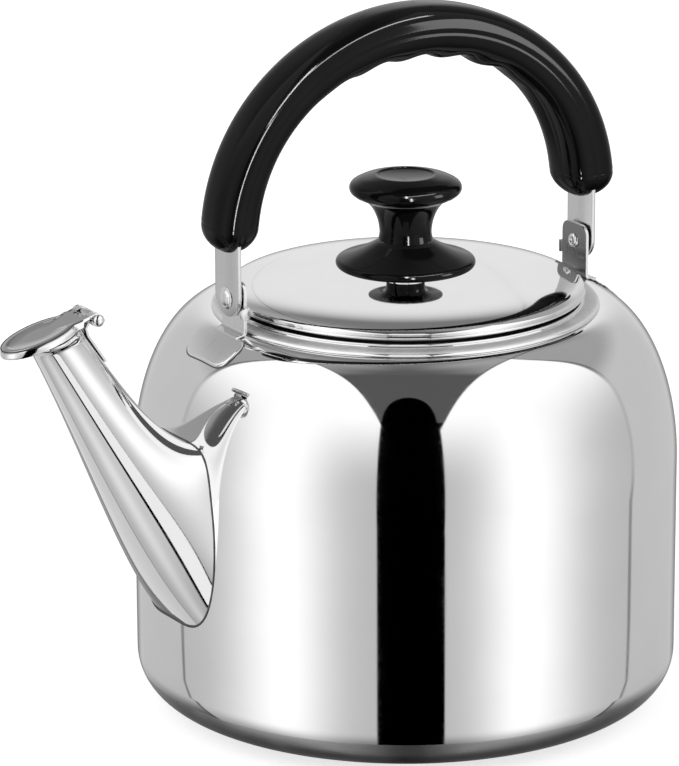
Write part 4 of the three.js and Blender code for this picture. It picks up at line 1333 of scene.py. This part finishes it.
def build_world():
    world = bpy.data.worlds.new("studio")
    bpy.context.scene.world = world
    world.use_nodes = True
    tree = world.node_tree
    tree.nodes.clear()
    sky = Sky(tree)

    # the side panels, each inside its near, far and top edges
    lean = (sky.height - 0.3).at_least(0) ** 2
    inside_near = sky.is_right.between(4.79, 3.45) - sky.along
    inside_far = sky.along - (sky.height.ramp(-0.44, -0.38, -0.2, -0.36) - lean * 0.2)
    inside_top = sky.is_right.between(3.15, sky.along * -0.2 + 2.7) - sky.height
    panel = inside_near.ramp(-0.06, 0.06) * inside_far.ramp(-0.02, 0.02) * inside_top.ramp(-0.04, 0.04)
    room = sky.azimuth.ramp(76, 108).between(front_light(sky), back_light(sky))
    light = panel.between(room, panel_light(sky))
    light = under_gap(sky).between(light, 0.0)

    # thin dark frames round the panels, strongest above and below
    frame_tone = abs(sky.elevation - 4).ramp(12, 30, 0.86, 0.3)
    for distance, reach in ((inside_far, 0.035), (inside_top, 0.09)):
        line = abs(distance).ramp(0.3 * reach, reach)
        light = light * line.at_least(sky.azimuth.ramp(20, 14)).between(frame_tone, 1.0)

    # the table darkens towards the kettle's foot, and a dark patch straight ahead outlines every round part
    light = light * sky.elevation.ramp(-58, -18, 0.33, 1.0)
    light = light * sky.towards(VIEW).ramp(0.91, 0.995, 1.0, 0.3)

    seen = Signal(tree, add(tree, "ShaderNodeLightPath").outputs["Is Camera Ray"])
    background = add(tree, "ShaderNodeBackground")
    background.inputs["Color"].default_value = (1, 1, 1, 1)
    tree.links.new(seen.between(light, 1.0).socket, background.inputs["Strength"])
    output = add(tree, "ShaderNodeOutputWorld")
    tree.links.new(background.outputs["Background"], output.inputs["Surface"])


def build_floor():
    """A plain pale floor, kept out of the steel's reflections because the world holds the table."""
    size = 12.0
    mesh = bpy.data.meshes.new("floor")
    corners = [(-size, -size, 0), (size, -size, 0), (size, size, 0), (-size, size, 0)]
    mesh.from_pydata(corners, [], [(0, 1, 2, 3)])
    material, tree, shader, place = node_material("pale_floor")
    cloud = noise_at(tree, place, 0.6, 1.0)
    tree.links.new(tint(tree, cloud, grey(0.86), grey(0.88)), shader.inputs["Base Color"])
    shader.inputs["Roughness"].default_value = 0.9
    shader.inputs["Specular IOR Level"].default_value = 0.1
    shader.inputs["Emission Color"].default_value = (1, 1, 1, 1)
    shader.inputs["Emission Strength"].default_value = 0.62
    mesh.materials.append(material)
    floor = bpy.data.objects.new("floor", mesh)
    bpy.context.scene.collection.objects.link(floor)
    floor.visible_glossy = False
    floor.visible_diffuse = False


def area_light(name, place, aim, size, power, receivers):
    data = bpy.data.lights.new(name, "AREA")
    data.shape = "RECTANGLE"
    data.size, data.size_y = size
    data.energy = power
    lamp = bpy.data.objects.new(name, data)
    lamp.location = place
    lamp.rotation_euler = (Vector(place) - Vector(aim)).to_track_quat("Z", "Y").to_euler()
    bpy.context.scene.collection.objects.link(lamp)
    lamp.light_linking.receiver_collection = receivers
    lamp.visible_camera = False
    return lamp


def receivers_of(name, pieces):
    collection = bpy.data.collections.new(name)
    for piece in pieces:
        collection.objects.link(bpy.data.objects[piece])
    return collection


def studio_place(forward, right, height):
    """A place in metres from the kettle: towards the camera, to its right, and up."""
    return TO_CAMERA * forward + CAMERA_RIGHT * right + Vector((0, 0, height))


def card(name, place, low, high, width, brightness, receivers):
    """An upright white card that only its receivers reflect."""
    middle = place + Vector((0, 0, (low + high) / 2))
    area_light(name, middle, Vector((0, 0, middle.z)), (width, high - low),
               CARD_LIGHT * width * (high - low) * brightness, receivers)


def ground_card(name, low, high, brightness, receivers):
    """A white card flat under the kettle, left of the line where the black gap's left side meets it."""
    turn = math.radians(12.8)
    width, depth = 22, 6
    ahead = TO_CAMERA * math.cos(turn) - CAMERA_RIGHT * math.sin(turn)
    left = -CAMERA_RIGHT * math.cos(turn) - TO_CAMERA * math.sin(turn)
    down = Vector((0, 0, -1))
    lamp = area_light(name, left * width / 2 + ahead * (low + high) / 2 + down * depth, (0, 0, 0),
                      (width, high - low), CARD_LIGHT * width * (high - low) * brightness, receivers)
    lamp.rotation_euler = Matrix((ahead.cross(down), ahead, down)).transposed().to_euler()


def build_lights():
    """Strip lamps for the long highlights on the black mouldings, and white cards for the spout and lid."""
    black = receivers_of("bakelite_parts", ("grip_moulding", "knob_saucer", "knob_hub", "knob_head"))
    aim = (0, 0, 0.22)
    area_light("strip_front", studio_place(1.56, 0.33, 0.22), aim, (0.12, 1.4), 50, black)
    area_light("strip_lean", studio_place(1.13, 0.04, 1.35), aim, (0.12, 1.0), 40, black)
    area_light("strip_above", studio_place(0.51, 0.61, 1.6), aim, (1.4, 0.14), 32, black)
    area_light("strip_right", studio_place(0.5, 1.5, 0.5), aim, (0.5, 1.0), 20, black)

    lid_parts = receivers_of("lid_parts", ("lid", "mouth_collar", "knob_ferrule"))
    card("card_lid", studio_place(10, 0.32, 0), -1.2, 15, 4.8, 0.9, lid_parts)
    spout_parts = receivers_of("spout_parts", ("spout",))
    card("card_spout", studio_place(10, 0.68, 0), -18, 15, 4.0, 0.95, spout_parts)
    ground_card("card_below_front", 0, 22, 0.25, spout_parts)
    ground_card("card_below_back", -7, 0, 0.55, spout_parts)


def build_camera():
    data = bpy.data.cameras.new("view")
    data.lens = CAMERA_LENS
    data.sensor_width = 36
    data.shift_x = CAMERA_SHIFT
    data.clip_end = 50
    camera = bpy.data.objects.new("view", data)
    turn = Matrix((CAMERA_RIGHT, CAMERA_RIGHT.cross(VIEW), -VIEW)).transposed()
    camera.matrix_world = Matrix.Translation(CAMERA_PLACE) @ turn.to_4x4()
    bpy.context.scene.collection.objects.link(camera)
    bpy.context.scene.camera = camera


build_world()
build_floor()
build_lights()
build_camera()
bpy.context.scene.view_settings.view_transform = "Standard"
